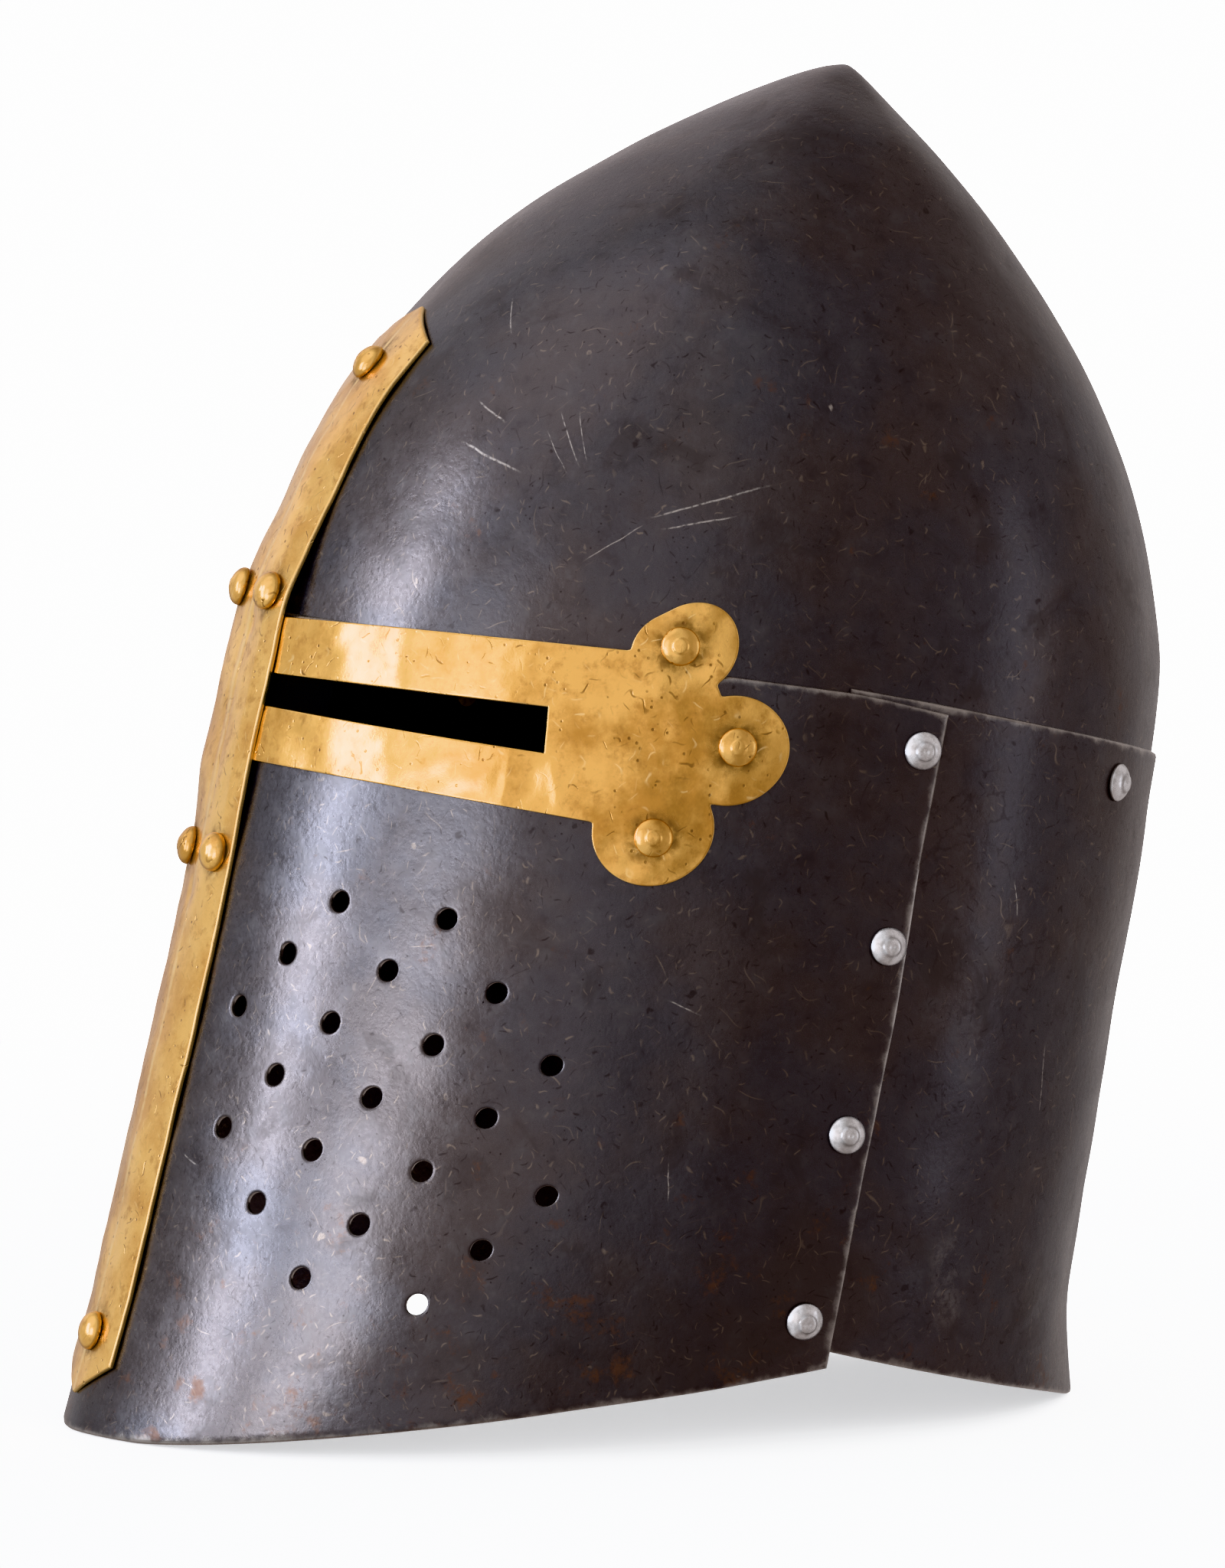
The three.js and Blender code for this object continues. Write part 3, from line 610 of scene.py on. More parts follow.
def make_front_plate():
    """A grid whose rows follow the lower edge, the slit and the top edge. The slit's cells are left out, and
    the cells round each breath hole give way to rings that run from a square to the hole's rounded rim."""
    # Columns and rows; near the seam the columns lean with the plate's rear edge.
    half = np.concatenate([np.linspace(0, SLIT_START - 0.5, 22), [SLIT_START, SLIT_START + 0.5],
                           np.linspace(SLIT_START + 1.5, SLIT_END - 1.5, 44), [SLIT_END - 0.5, SLIT_END],
                           np.linspace(SLIT_END + 1, REAR_TOP - 1, 57), [REAR_TOP - 0.3, REAR_TOP]])
    column = np.concatenate([-half[:0:-1], half])
    bottom = SEAM_BOTTOM * (np.maximum(np.abs(column) - FRONT_FOOT, 0) / (REAR_BOTTOM - FRONT_FOOT)) ** 1.3
    top = PLATE_TOP - 2.6 * smooth_step(np.abs(column), 179, REAR_TOP + 8)
    lower = edged(bottom, slit_bottom(column), 104)
    slit_height = slit_top(column) - slit_bottom(column)
    middle = slit_bottom(column) + slit_height * np.linspace(0, 1, 8)[1:-1, None]
    upper = edged(slit_top(column), top, 12)
    level = np.concatenate([lower, middle, upper])
    rear = REAR_BOTTOM + (REAR_TOP - REAR_BOTTOM) * level / PLATE_TOP
    stretch = np.clip((np.abs(column) - 110) / (REAR_TOP - 110), 0, 1)
    girth = np.sign(column) * (np.abs(column) + stretch * (rear - REAR_TOP))

    # Cells that stay: all but those of the slits and of a square round each hole.
    row = np.arange(len(level) - 1)
    open_row = (row >= len(lower) - 1) & (row < len(lower) + len(middle))
    centre = np.abs(column[:-1] + column[1:]) / 2
    keep = ~(open_row[:, None] & ((centre > SLIT_START) & (centre < SLIT_END))[None])
    hole_girth, hole_level = breath_holes()
    at_column = np.abs(column[None] - hole_girth[:, None]).argmin(1)
    at_row = np.abs(level[:, at_column] - hole_level[None]).argmin(0)
    reach = 3
    for hole_row, hole_column in zip(at_row, at_column):
        keep[hole_row - reach:hole_row + reach, hole_column - reach:hole_column + reach] = False

    # Rings from each square's corners to the hole's rim.
    steps = np.arange(-reach, reach)
    side = np.full(2 * reach, reach)
    ring_row = at_row[:, None] + np.concatenate([-side, steps, side, -steps])
    ring_column = at_column[:, None] + np.concatenate([steps, side, -steps, -side])
    angle = np.arctan2(level[ring_row, ring_column] - hole_level[:, None],
                       girth[ring_row, ring_column] - hole_girth[:, None])
    share, depth = HOLE_RINGS.T[:, :, None, None]
    ring_girth = hole_girth[:, None] + HOLE_RADIUS * share * np.cos(angle)
    ring_level = hole_level[:, None] + HOLE_RADIUS * share * np.sin(angle)
    ring_drop = depth * np.ones_like(ring_girth)
    first = ring_row * level.shape[1] + ring_column
    rest = level.size + np.arange(ring_girth.size).reshape(ring_girth.shape)
    rings = np.concatenate([first[None], rest])
    onward = np.roll(rings, -1, axis=2)
    hole_quads = np.stack([rings[:-1], onward[:-1], onward[1:], rings[1:]], -1).reshape(-1, 4)

    # The whole plate, seated on the helm and standing on the ground.
    edge = np.minimum(np.minimum(level - bottom, top - level), rear - np.abs(girth))
    edge = np.minimum(edge, np.maximum(slit_distance(girth, level), 0))
    drop = np.concatenate([edge_drop(edge, EDGE_RADIUS).ravel(), ring_drop.ravel()])
    all_girth = np.concatenate([girth.ravel(), ring_girth.ravel()])
    all_level = np.concatenate([level.ravel(), ring_level.ravel()])
    turn = turn_at(all_girth, all_level)
    outside = stand_off(turn, all_level, front_seat(all_girth) + STEEL - drop)
    inside = stand_off(turn, all_level, front_seat(all_girth))
    quads = np.concatenate([grid_quads(*level.shape)[keep], hole_quads])
    points, faces = thick_sheet(outside, inside, quads)
    points[:, 2] = np.maximum(points[:, 2], 0)

    # Wear on the edges, and painted shade, near black, on the bridge where it shows through the arms' slits.
    wear = np.concatenate([np.exp(-edge / WEAR_REACH).ravel(), (ring_drop / 0.5).ravel()])
    above = np.maximum(slit_bottom(all_girth) - all_level, all_level - slit_top(all_girth))
    # Painted shade: the bridge between the eye slits, behind the arms' slits, is marked to be near black.
    painted_shade = smooth_step(-above, -0.9, 0) * (np.abs(all_girth) < SLIT_START + 4)
    marks = {"wear": np.tile(wear * (1 - painted_shade), 2), "painted_shade": np.tile(painted_shade, 2)}
    return points, faces, marks, np.tile(np.stack([all_girth, all_level], -1), (2, 1))


FRONT_SCRATCHES = [
    ((150, 128), (160, 124.5), 0.22),
    ((160, 84), (162, 72), 0.22),
    ((22.5, 75), (30, 72.5), 0.24),
]
front_points, front_faces, front_marks, front_flat = make_front_plate()
put_piece("front_plate_steel", front_points, front_faces,
          blackened_steel("blackened_steel_front", FRONT_SCRATCHES, 0.09),
          "front_plate", front_marks, front_flat)


# Arms of the cross: brass sheet, sawn to a band with the eye slit in it and three lobes at the end.
# Each is bent round the face, tucked under the ridge bar's edge, and riveted through its lobes.
BRASS = 1.0
ARM_HEIGHT = 1.92
ARM_START = 12.5
BAND_BOTTOM = 177.6
BAND_TOP = 214.4
BAND_END = 142
# Depths inside the outline of the lines that make the rounded rim.
RIM_DEPTHS = (0.6, 0.3, 0.12, 0.0)
# Girth, level and radius of the lobes, and of two discs that round off the upper lobe's neck.
LOBES = [(137.8, 221.9, 11.8), (153.4, 197.1, 14.7), (138.4, 173.8, 15.3)]
LOBE_NECKS = [(140, 208, 8.5), (133, 220.5, 10)]
# Girth and level of the rivet in each lobe.
LOBE_RIVETS = {"upper": (135, 222.1), "middle": (154.7, 198.3), "lower": (138.8, 171.8)}


def arm_seat(girth):
    """Height of the arm's inside, which follows the front plate under it."""
    return ARM_HEIGHT + front_seat(girth) - GAP


def soft_min(first, second, reach):
    """The smaller of two distances, with a fillet where they are nearly equal."""
    near = np.maximum(reach - np.abs(first - second), 0) / reach
    return np.minimum(first, second) - near * near * reach / 4


def arm_outline(girth, level):
    """Distance from the arm's outline, negative on the brass: the band, joined to three round lobes with
    small fillets, less the eye slit."""
    band = np.maximum(BAND_BOTTOM - 0.00024 * girth * girth - level, level - BAND_TOP - 0.041 * girth)
    band = np.maximum(band, girth - BAND_END)
    for lobe_girth, lobe_level, radius in LOBES + LOBE_NECKS:
        band = soft_min(band, np.hypot(girth - lobe_girth, level - lobe_level) - radius, 1.0)
    slit = np.maximum(slit_bottom(girth) - level, level - slit_top(girth))
    slit = np.maximum(slit, girth - SLIT_END + 0.13 * (level - 191))
    return np.maximum(np.maximum(band, -slit), ARM_START - girth)


def move_to_depth(girth, level, depth):
    """Moves places along the outline's slope until they lie at a depth inside it."""
    near = 0.01
    for _ in range(5):
        away = arm_outline(girth, level) + depth
        slope_girth = (arm_outline(girth + near, level) - arm_outline(girth - near, level)) / (2 * near)
        slope_level = (arm_outline(girth, level + near) - arm_outline(girth, level - near)) / (2 * near)
        push = away / np.maximum(slope_girth ** 2 + slope_level ** 2, 0.2)
        girth = girth - push * slope_girth
        level = level - push * slope_level
    return girth, level


def rivet_stains(girth, level, rivets):
    """Tarnish in a soft ring round each rivet, 5 mm from its middle."""
    tarnish_and_shade = np.zeros_like(girth)
    for rivet_girth, rivet_level in rivets:
        reach = np.hypot(girth - rivet_girth, level - rivet_level)
        tarnish_and_shade = np.maximum(tarnish_and_shade, np.exp(-((reach - 5) / 2.2) ** 2))
    return tarnish_and_shade


def bulge(girth, level, reach_girth, reach_level):
    """A bell-shaped hill, 1 high, that fades out over these reaches."""
    return np.exp(-(girth / reach_girth) ** 2 - (level / reach_level) ** 2)


def make_arm(side):
    """A fine grid over the arm's blank, of which the cells well inside the outline stay. Its free corners
    are moved to an even depth inside the outline, and three strips from there make the rounded rim. Behind
    the slit the lower band has a shallow crease between two folds."""
    girth, level = np.meshgrid(np.linspace(ARM_START, 171, 212), np.linspace(154, 239, 116))
    away = arm_outline(girth, level) + RIM_DEPTHS[0]
    keep = (away[:-1, :-1] + away[:-1, 1:] + away[1:, 1:] + away[1:, :-1]) < 0
    quads = grid_quads(*girth.shape)[keep]
    free = free_edges(quads)
    rim = np.unique(free)
    order = np.searchsorted(rim, free)
    girth = girth.ravel()
    level = level.ravel()
    girth[rim], level[rim] = move_to_depth(girth[rim], level[rim], RIM_DEPTHS[0])
    strip = free
    for depth in RIM_DEPTHS[1:]:
        outer_girth, outer_level = move_to_depth(girth[rim], level[rim], depth)
        outer = len(girth) + order
        quads = np.concatenate([quads, np.concatenate([strip[:, ::-1], outer], 1)])
        girth = np.concatenate([girth, outer_girth])
        level = np.concatenate([level, outer_level])
        strip = outer
    used, corners = np.unique(quads, return_inverse=True)
    quads = corners.reshape(-1, 4)
    girth = girth[used]
    level = level[used]

    hollow = bulge(girth - 105, level - 181.5, 4.2, 6.5)
    near_fold = bulge(girth - 99 - 0.1 * (182 - level), level - 181.5, 1.3, 6)
    far_fold = bulge(girth - 111.5 - 0.35 * (184 - level), level - 183, 1.4, 7)
    crease = 0.6 * hollow - 0.22 * near_fold - 0.34 * far_fold
    turn = side * turn_at(girth, level)
    place = helm_surface(turn, level)
    wavy = 0.11 * ripples(place, 17, 8) + 0.035 * ripples(place, 6.5, 9) - crease
    height = arm_seat(girth) + wavy
    inward = np.maximum(-arm_outline(girth, level), 0)
    outside = stand_off(turn, level, height + BRASS - edge_drop(inward, 0.35))
    inside = stand_off(turn, level, height)
    points, faces = thick_sheet(outside, inside, quads if side > 0 else quads[:, ::-1])
    tarnish_and_shade = rivet_stains(girth, level, LOBE_RIVETS.values())
    marks = {"wear": np.tile(np.exp(-inward / 0.3), 2), "tarnish_and_shade": np.tile(tarnish_and_shade, 2)}
    return points, faces, marks, np.tile(np.stack([side * girth, level], -1), (2, 1))


def old_brass(name, clean, brown):
    """Aged brass: polished gold and brown patina in clouds, stains round the rivets, black pits, a web of
    bright scratches and bright worn edges, over a surface that keeps the hammer's small unevenness. On the
    rivets themselves the same dark mark is painted shade at the foot and on the shank."""
    material, tree, place = new_metal(name)

    # Patina in clouds and specks, and dark marks where the mesh is marked: tarnish round the rivets on the
    # sheets, and painted shade at the rivets' own feet and shanks.
    patches = clouds(tree, place, 52.0, 7.0, 0.64)
    specks = clouds(tree, place, 240.0, 5.0, 0.62)
    grain = clouds(tree, place, 1300.0, 2.0)
    colour = blend_colour(tree, between(tree, patches, 0.4, 0.66), clean, brown)
    freckles = times(tree, between(tree, specks, 0.5, 0.72), 0.6)
    colour = blend_colour(tree, freckles, colour, (0.42, 0.21, 0.065, 1))
    # On a rivet this mark is painted shade; on the sheets it is tarnish round the rivets.
    stain_and_shade = times(tree, marked(tree, "tarnish_and_shade"), between(tree, specks, 0.3, 0.6))
    colour = blend_colour(tree, times(tree, stain_and_shade, 0.8), colour, (0.12, 0.065, 0.03, 1))

    # Pits and scratches, and bright metal on worn edges.
    cells = add_node(tree, "ShaderNodeTexVoronoi", Vector=place, Scale=330.0)
    lone = between(tree, clouds(tree, place, 120.0, 3.0), 0.42, 0.55)
    pits = times(tree, between(tree, cells.outputs["Distance"], 0.17, 0.08), lone)
    bright_lines, dark_lines = scratch_field(tree, place, 300.0, 0.0002, 1.0)
    pits = larger(tree, pits, dark_lines)
    colour = blend_colour(tree, times(tree, pits, 0.75), colour, (0.17, 0.085, 0.035, 1))
    worn = between(tree, plus(tree, marked(tree, "wear"), spread(tree, specks, -0.2, 0.2)), 0.4, 0.9)
    bright = larger(tree, times(tree, bright_lines, 0.5), times(tree, worn, 0.8))
    colour = blend_colour(tree, bright, colour, (1.0, 0.74, 0.36, 1))

    gloss = plus(tree, spread(tree, patches, 0.13, 0.21), spread(tree, specks, -0.02, 0.06))
    gloss = plus(tree, gloss, times(tree, stain_and_shade, 0.2))
    relief = plus(tree, times(tree, specks, 0.5), times(tree, grain, 0.04))
    relief = reckon(tree, "SUBTRACT", relief, times(tree, pits, 0.5))
    finish_metal(tree, colour, gloss, relief, 0.75, 0.0002)
    return material


arm_brass = old_brass("old_brass_arm", (0.86, 0.515, 0.165, 1), (0.54, 0.285, 0.08, 1))
for side, word in ((1, "left"), (-1, "right")):
    arm_points, arm_faces, arm_marks, arm_flat = make_arm(side)
    put_piece("arm_" + word + "_brass", arm_points, arm_faces, arm_brass, "arm_" + word,
              arm_marks, arm_flat)


# Ridge bar: a brass strip folded along the keel from the brow to the chin, its ends cut to a point.
# It lies on the steel at the fold, and its edges stand off far enough to cover the arms' ends.
BAR_LOW_TIP = 9
BAR_HIGH_TIP = 295.5
BAR_POINT = 8.5
BAR_HALF_LOW = 15
BAR_HALF_GAIN = 5
BAR_BRASS = 1.1


def bar_seat(girth, level):
    """Height of the bar's inside: on the front plate below and on the skull above, lifted a little at the
    edges, and more where the arms' ends lie under it."""
    over_plate = (STEEL + GAP) * (1 - smooth_step(level, 217, 246))
    over_arms = smooth_step(level, 150, 178) * (1 - smooth_step(level, 214, 250))
    return 0.2 + over_plate + (0.35 + 1.2 * over_arms) * np.clip((np.abs(girth) - 2) / 9.5, 0, 1)


# Girth and level of each rivet.
RIDGE_RIVETS = {
    "ridge_rivet_top": (0, 280),
    "ridge_rivet_upper_left": (11, 220.7),
    "ridge_rivet_upper_right": (-11, 220.7),
    "ridge_rivet_lower_left": (10.2, 152.6),
    "ridge_rivet_lower_right": (-10.2, 152.6),
    "ridge_rivet_bottom": (2.5, 25.5),
}


def make_ridge_bar():
    """A grid along the keel, wider towards the top; each row is bent down from the fold, and both ends are
    cut back towards the edges. Two dents lie beside the upper and the lower rivets."""
    half = np.concatenate([np.linspace(0, 0.2, 9), np.linspace(0.24, 0.94, 22), [0.97, 0.985, 0.994, 1.0]])
    aside = np.concatenate([-half[:0:-1], half])
    low = BAR_LOW_TIP + BAR_POINT * np.abs(aside)
    high = BAR_HIGH_TIP - BAR_POINT * np.abs(aside)
    level = edged(low, high, 240)
    width = BAR_HALF_LOW + BAR_HALF_GAIN * level / BAR_HIGH_TIP
    girth = aside * width
    edge = np.minimum(np.minimum(level - low, high - level), width - np.abs(girth))
    turn = turn_at(girth, level)
    place = helm_surface(turn, level)
    height = bar_seat(girth, level) + 0.08 * ripples(place, 19, 12) + 0.03 * ripples(place, 7, 13)
    height = height - 0.5 * bulge(girth - 2.5, level - 212, 2.2, 4)
    height = height - 0.45 * bulge(girth + 1, level - 141, 2.2, 4)
    outside = stand_off(turn, level, height + BAR_BRASS - edge_drop(edge, 0.4)).reshape(-1, 3)
    inside = stand_off(turn, level, height).reshape(-1, 3)
    points, faces = thick_sheet(outside, inside, grid_quads(*level.shape).reshape(-1, 4))
    tarnish_and_shade = rivet_stains(girth, level, RIDGE_RIVETS.values())
    wear = np.maximum(np.exp(-edge / 0.35), 0.7 * np.exp(-(girth / 1.8) ** 2))
    marks = {"wear": np.tile(wear.ravel(), 2), "tarnish_and_shade": np.tile(tarnish_and_shade.ravel(), 2)}
    return points, faces, marks, np.tile(np.stack([girth, level], -1).reshape(-1, 2), (2, 1))


bar_points, bar_faces, bar_marks, bar_flat = make_ridge_bar()
bar_brass = old_brass("old_brass_bar", (0.96, 0.61, 0.22, 1), (0.74, 0.42, 0.135, 1))
put_piece("ridge_bar_brass", bar_points, bar_faces, bar_brass, "ridge_bar",
          bar_marks, bar_flat)


# Brass rivets: turned domes, tall on the ridge bar and low on the arms' lobes, with the shank hammered flat
# inside. They hold the brass on the steel behind it.
SHANK_RADIUS = 2.2
RIVET_SIDES = 40


def rivet_profile(radius, height, roundness, skirt, button, rise, dimple, length):
    """Radius and height from the middle of the head to the end of the shank. The dome is a superellipse over
    a short upright skirt, with a raised round button on it and a dimple in the middle; below it come the rim,
    the shank and the hammered end."""
    r = radius * np.sin(np.linspace(0, np.pi / 2, 40))
    h = (height - rise - skirt) * (1 - (r / radius) ** roundness) ** (1 / roundness) + skirt
    h = h + rise * (1 - smooth_step(r, button - 0.35, button + 0.35)) - dimple * np.exp(-(r / 0.9) ** 2)
    rim = [[radius, 0.35], [radius - 0.12, 0.12], [radius - 0.4, 0.06], [SHANK_RADIUS, 0.06]]
    hammered_end = [[SHANK_RADIUS, 0.7 - length], [3.2, 0.5 - length], [3.3, 0.2 - length],
                    [2.4, -0.25 - length], [0, -0.4 - length]]
    return np.concatenate([np.stack([r, h], -1), rim, hammered_end])


def turn_rivet(profile, middle, outward, seed):
    """Carries the profile round its axis, slightly tilted and uneven, as each rivet is set by hand, with fans
    of triangles at both ends. Painted shade is marked as well: a painted contact shadow round the foot of the
    dome, and near black over the shank and the hammered end."""
    random = np.random.default_rng(seed)
    outward = outward + 0.03 * random.normal(size=3)
    outward = outward / np.linalg.norm(outward)
    first = np.cross(outward, [0.3, 0.2, 0.9])
    first = first / np.linalg.norm(first)
    second = np.cross(outward, first)
    around = np.linspace(0, 2 * np.pi, RIVET_SIDES + 1)[:-1]
    ring = first * np.cos(around)[:, None] + second * np.sin(around)[:, None]
    radius, height = profile[1:-1].T
    points = middle + ring[None] * radius[:, None, None] + outward * height[:, None, None]
    lumpy = 0.03 * ripples(points, 5.0, seed + 40) + 0.008 * ripples(points, 1.6, seed + 80)
    points = points + outward * (lumpy * (height > 0.3)[:, None])[..., None]
    ends = middle + outward * profile[[0, -1], 1][:, None]
    count = len(radius) * RIVET_SIDES
    top = np.arange(RIVET_SIDES)
    low = count - RIVET_SIDES + top
    faces = ring_quads(len(radius), RIVET_SIDES)[:, ::-1].tolist()
    faces += np.stack([top, np.roll(top, -1), np.full(RIVET_SIDES, count)], -1).tolist()
    faces += np.stack([np.roll(low, -1), low, np.full(RIVET_SIDES, count + 1)], -1).tolist()
    # Painted shade: a contact shadow round the foot of the dome, and near black on the shank and the hammered
    # end inside.
    foot = np.exp(-((radius - radius.max()) / 0.4) ** 2) * (height < 0.8)
    tarnish_and_shade = np.maximum(foot, 4 * (height < 0))
    tarnish_and_shade = np.concatenate([np.repeat(tarnish_and_shade, RIVET_SIDES), [0, 4]])
    return np.concatenate([points.reshape(-1, 3), ends]), faces, tarnish_and_shade


def rivet_place(height, girth, level):
    """The middle of a rivet's seat and its outward direction, from steps of 3 mm across and up the sheet."""
    girths = girth + np.array([0, 3, -3, 0, 0.0])
    levels = level + np.array([0, 0, 0, 3, -3.0])
    seats = stand_off(turn_at(girths, levels), levels, height(girths, levels))
    outward = np.cross(seats[1] - seats[2], seats[3] - seats[4])
    return seats[0], outward / np.linalg.norm(outward)


def set_rivet(node, metal, profile, height, girth, level, seed, darkening=0.0):
    """Sets a rivet on a sheet whose outside has this height, as a function of girth and level."""
    middle, outward = rivet_place(height, girth, level)
    points, faces, tarnish_and_shade = turn_rivet(profile, middle, outward, seed)
    marks = {"tarnish_and_shade": np.maximum(tarnish_and_shade, darkening), "wear": np.zeros(len(points))}
    put_piece(node + "_dome", points, faces, metal, node, marks)


def bar_outside(girth, level):
    return bar_seat(girth, level) + BAR_BRASS


def arm_outside(girth, level):
    return arm_seat(girth) + BRASS


rivet_brass = old_brass("old_brass_rivet", (0.9, 0.55, 0.185, 1), (0.62, 0.34, 0.1, 1))
tall_dome = rivet_profile(radius=5.2, height=4.1, roundness=1.9, skirt=0.8,
                          button=1.8, rise=0.1, dimple=0.0, length=4.6)
low_dome = rivet_profile(radius=5.0, height=3.0, roundness=1.8, skirt=0.6,
                         button=2.0, rise=0.32, dimple=0.08, length=3.1)
for seed, (name, (girth, level)) in enumerate(RIDGE_RIVETS.items()):
    set_rivet(name, rivet_brass, tall_dome, bar_outside, girth, level, seed)
for side, word in ((1, "left"), (-1, "right")):
    for number, (lobe, (girth, level)) in enumerate(LOBE_RIVETS.items()):
        set_rivet("lobe_rivet_" + lobe + "_" + word, rivet_brass, low_dome, arm_outside,
                  side * girth, level, 20 + number + 3 * side)


# Steel rivets: bright domes with a small dimple, four down each side seam and one at each side of the back.
# They hold the front plate on the back plate, and the back plate on the skull.
def bright_steel(name):
    """Bare steel: light grey with fine mottling and grain, and dark where the mesh is marked: a painted
    contact shadow round the foot, painted shade on the shank, and a darker ring round the button and a darker
    dimple.
    """
    material, tree, place = new_metal(name)
    mottle = clouds(tree, place, 380.0, 6.0, 0.62)
    grain = clouds(tree, place, 1900.0, 3.0)
    colour = blend_colour(tree, between(tree, mottle, 0.4, 0.65),
                          (0.82, 0.82, 0.84, 1), (0.55, 0.54, 0.54, 1))
    # Painted contact shadow and shade from the rivet's marks, and the darker ring and dimple.
    colour = blend_colour(tree, times(tree, marked(tree, "tarnish_and_shade"), 0.8), colour, (0.07, 0.055, 0.045, 1))
    gloss = plus(tree, spread(tree, mottle, 0.2, 0.36), spread(tree, grain, -0.04, 0.06))
    finish_metal(tree, colour, gloss, plus(tree, mottle, grain), 0.12, 0.0001)
    return material


def front_outside(girth, level):
    return front_seat(girth) + STEEL


def back_outside(girth, level):
    return np.full_like(girth, GAP + STEEL)


# Girth and level of the rivets down the seam, from the top, and of the one at the back.
SIDE_RIVETS = [(203, 203.6), (205, 147.5), (205, 92.5), (205, 39.2)]
BACK_RIVET = (279.5, 200.8)
rivet_steel = bright_steel("bright_steel_rivet")
dimpled_dome = rivet_profile(radius=5.1, height=3.6, roundness=1.7, skirt=0.4,
                             button=2.4, rise=0.35, dimple=0.45, length=4.0)
# Darker in a ring round the button and in the dimple.
dome_radius, dome_height = dimpled_dome[1:-1].T
dome_darkening = 0.45 * np.exp(-((dome_radius - 2.5) / 0.4) ** 2) * (dome_height > 1)
dome_darkening = np.concatenate([np.repeat(dome_darkening, RIVET_SIDES), [0.35, 0]])
for side, word in ((1, "left"), (-1, "right")):
    for number, (girth, level) in enumerate(SIDE_RIVETS):
        set_rivet("side_rivet_" + str(number + 1) + "_" + word, rivet_steel, dimpled_dome,
                  front_outside, side * girth, level, 50 + number + 5 * side, dome_darkening)
    girth, level = BACK_RIVET
    set_rivet("back_rivet_" + word, rivet_steel, dimpled_dome, back_outside,
              side * girth, level, 60 + side, dome_darkening)


# Stage: a pale round floor that fades into the backdrop, soft boxes in front of, beside and behind the helm,
# pale walls that only the metal reflects, and the camera at the photograph's angle.
def toward(azimuth, elevation):
    """The direction of a view: azimuth 0 stands in front of the face, 90 at the wearer's left."""
    azimuth = np.radians(azimuth)
    elevation = np.radians(elevation)
    flat = np.cos(elevation)
    return np.array([np.sin(azimuth) * flat, -np.cos(azimuth) * flat, np.sin(elevation)])


def aim(thing, place, target):
    """Puts a lamp or camera at a place and turns its -Z axis to the target, with its top up."""
    back = np.array(place) - np.array(target)
    back = back / np.linalg.norm(back)
    right = np.cross([0, 0, 1], back)
    right = right / np.linalg.norm(right)
    top = np.cross(back, right)
    matrix = np.eye(4)
    matrix[:3, :4] = np.stack([right, top, back, place], -1)
    thing.matrix_world = Matrix(matrix.tolist())


# Height of the helm's middle, in metres.
HELM_MIDDLE = 0.18


def soft_box(name, azimuth, elevation, distance, width, height, brightness, colour, lean=0):
    """A rectangular lamp, as bright as asked whatever its size. Its top leans to the right by some degrees.
    Distances and sizes are in metres."""
    lamp = bpy.data.lights.new(name, "AREA")
    lamp.shape = "RECTANGLE"
    lamp.size = width
    lamp.size_y = height
    lamp.energy = brightness * np.pi * width * height
    lamp.color = colour
    thing = bpy.data.objects.new(name, lamp)
    thing.visible_camera = False
    bpy.context.scene.collection.objects.link(thing)
    middle = np.array([0, 0, HELM_MIDDLE])
    aim(thing, middle + distance * toward(azimuth, elevation), middle)
    thing.matrix_world = thing.matrix_world @ Matrix.Rotation(np.radians(-lean), 4, "Z")


soft_box("front_strip", azimuth=-5, elevation=11, distance=1.8, width=0.32, height=1.14,
         brightness=10.8, colour=(0.92, 1.0, 1.17), lean=-14)
soft_box("side_strip", azimuth=22, elevation=7, distance=1.9, width=0.75, height=0.95,
         brightness=1.4, colour=(0.95, 1.0, 1.1))
soft_box("low_card", azimuth=23, elevation=-7, distance=0.62, width=0.2, height=0.23,
         brightness=4.5, colour=(0.94, 1.0, 1.12))
soft_box("back_box", azimuth=147, elevation=-2, distance=1.7, width=0.5, height=1.0,
         brightness=0.55, colour=(0.9, 0.95, 1.05))

# The floor lies just below the helm. It is clear towards its edge.
FLOOR_RADIUS = 1.6
FLOOR_SIDES = 96
FLOOR_HEIGHT = -0.0002
FLOOR_FADE = (0.35, 1.2)
floor_ring = np.linspace(0, 2 * np.pi, FLOOR_SIDES + 1)[:-1]
floor_points = np.stack([FLOOR_RADIUS * np.cos(floor_ring), FLOOR_RADIUS * np.sin(floor_ring),
                         np.full(FLOOR_SIDES, FLOOR_HEIGHT)], -1)
floor_mesh = bpy.data.meshes.new("floor")
floor_mesh.from_pydata(floor_points.tolist(), [], [list(range(FLOOR_SIDES))])
floor = bpy.data.objects.new("floor", floor_mesh)
bpy.context.scene.collection.objects.link(floor)
floor_paint = bpy.data.materials.new("pale_floor")
floor_paint.use_nodes = True
floor_tree = floor_paint.node_tree
floor_place = add_node(floor_tree, "ShaderNodeTexCoord").outputs["Object"]
floor_reach = reckon_places(floor_tree, "LENGTH", floor_place)
floor_matt = add_node(floor_tree, "ShaderNodeBsdfDiffuse", Color=(0.86, 0.86, 0.86, 1))
floor_clear = add_node(floor_tree, "ShaderNodeBsdfTransparent")
floor_glow = add_node(floor_tree, "ShaderNodeEmission", Color=(0.58, 0.58, 0.59, 1))
floor_lit = add_node(floor_tree, "ShaderNodeAddShader", i0=floor_matt.outputs[0], i1=floor_glow.outputs[0])
floor_mix = add_node(floor_tree, "ShaderNodeMixShader", i0=between(floor_tree, floor_reach, *FLOOR_FADE),
                     i1=floor_lit.outputs[0], i2=floor_clear.outputs[0])
floor_tree.links.new(floor_mix.outputs[0], floor_tree.nodes["Material Output"].inputs["Surface"])
floor_mesh.materials.append(floor_paint)
floor.visible_glossy = False

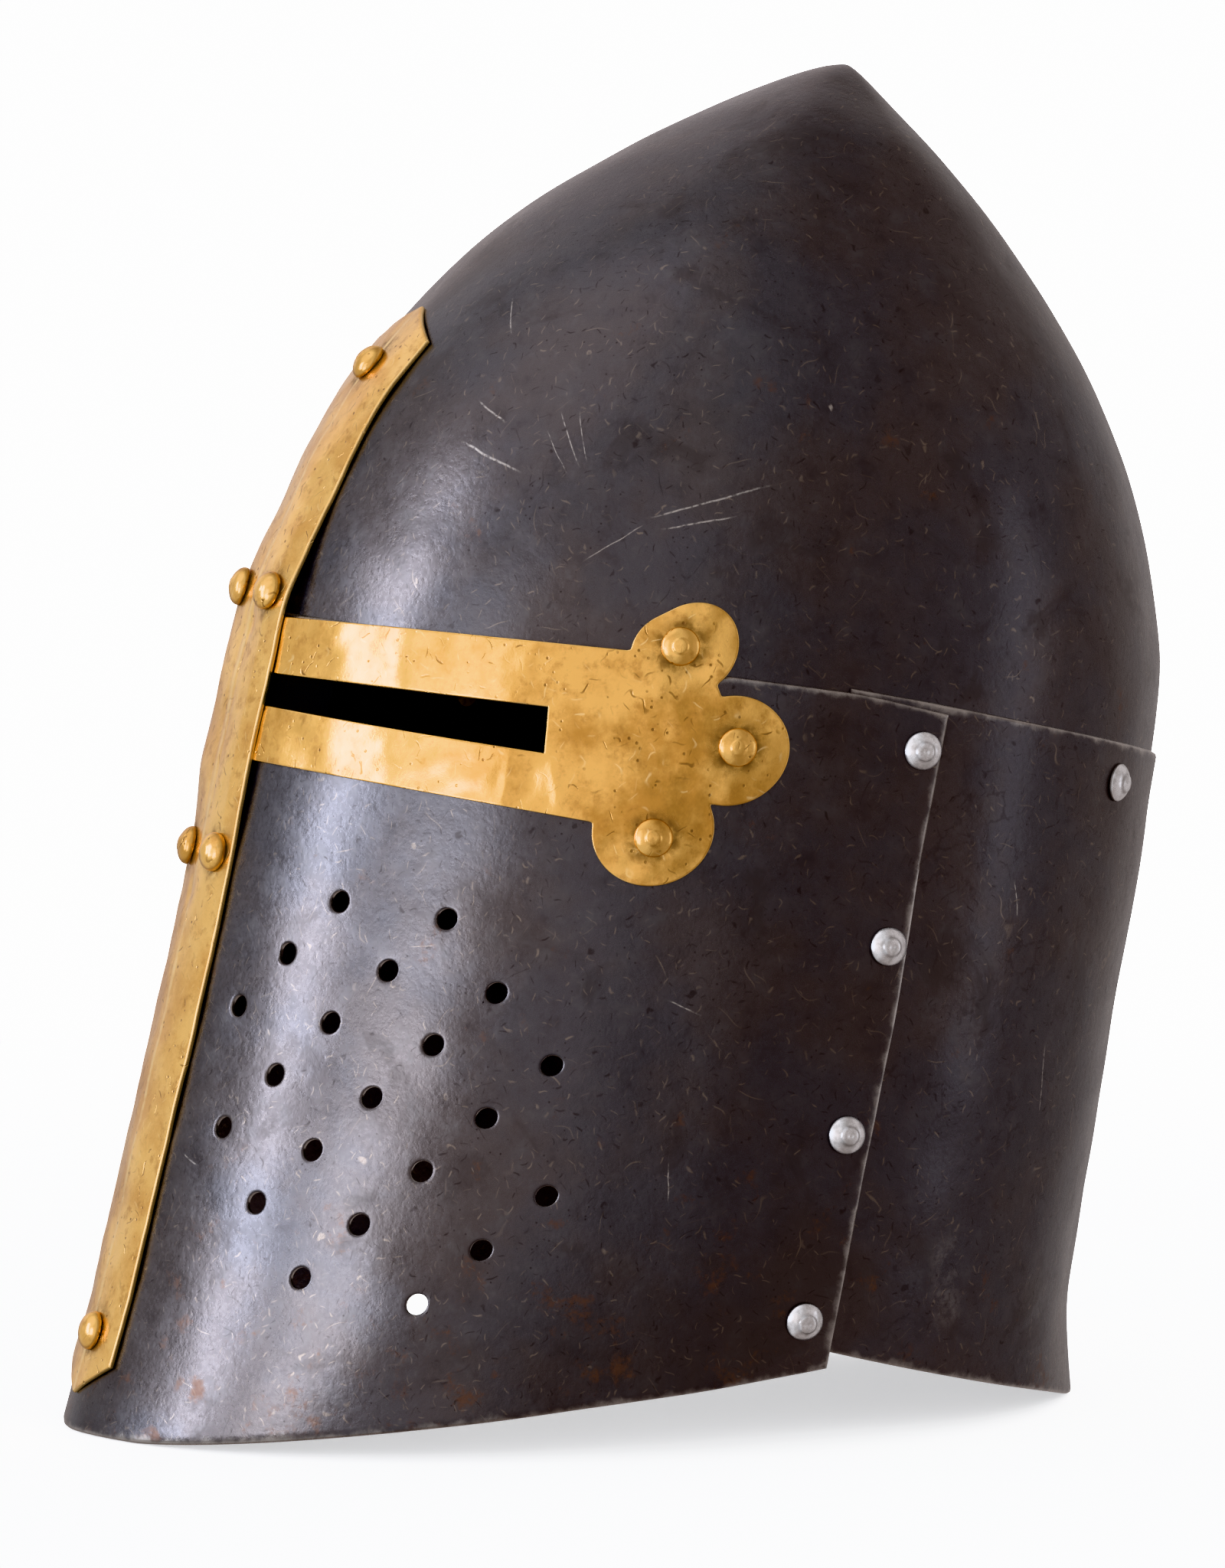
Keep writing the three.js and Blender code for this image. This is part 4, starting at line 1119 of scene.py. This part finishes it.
backdrop = bpy.data.worlds.new("backdrop")
backdrop.use_nodes = True
backdrop_tree = backdrop.node_tree
ray = add_node(backdrop_tree, "ShaderNodeLightPath")
sky = add_node(backdrop_tree, "ShaderNodeTexCoord").outputs["Generated"]


def glow(azimuth, elevation, low, high):
    """How far the sky's direction lies towards a place, from 0 at the low cosine to 1 at the high one."""
    facing = reckon_places(backdrop_tree, "DOT_PRODUCT", sky, tuple(toward(azimuth, elevation)))
    return between(backdrop_tree, facing, low, high)


walls = blend_colour(backdrop_tree, glow(5, 15, -0.04, 0.44), (0.4, 0.35, 0.335, 1), (0.76, 0.75, 0.77, 1))
# Further glows on the walls: azimuth, elevation, low and high cosine, and the light that is added.
GLOWS = [
    (175, 0, 0.1, 0.8, (0.14, 0.14, 0.145)),
    (46, 5, 0.8, 0.97, (0.2, 0.15, 0.13)),
    (-5, 50, 0.8, 0.97, (0.5, 0.48, 0.52)),
    (-90, 25, 0.8, 0.97, (0.3, 0.27, 0.29)),
]
for azimuth, elevation, low, high, light in GLOWS:
    walls = reckon_places(backdrop_tree, "MULTIPLY_ADD", glow(azimuth, elevation, low, high), light, walls)
plain = blend_colour(backdrop_tree, ray.outputs["Is Camera Ray"], (3.2, 3.2, 3.2, 1), (5.0, 5.0, 5.0, 1))
seen = blend_colour(backdrop_tree, ray.outputs["Is Glossy Ray"], plain, walls)
backdrop_tree.links.new(seen, backdrop_tree.nodes["Background"].inputs["Color"])
bpy.context.scene.world = backdrop

camera_data = bpy.data.cameras.new("camera")
camera_data.sensor_width = 36
camera_data.lens = 187.7
camera_data.clip_end = 20
camera = bpy.data.objects.new("camera", camera_data)
bpy.context.scene.collection.objects.link(camera)
CAMERA_DISTANCE = 2.2
CAMERA_AZIMUTH = 69.9
CAMERA_ELEVATION = 4.55
camera_target = np.array([0, 0.002, 0.1668])
aim(camera, camera_target + CAMERA_DISTANCE * toward(CAMERA_AZIMUTH, CAMERA_ELEVATION), camera_target)
bpy.context.scene.camera = camera
bpy.context.scene.view_settings.view_transform = "Khronos PBR Neutral"
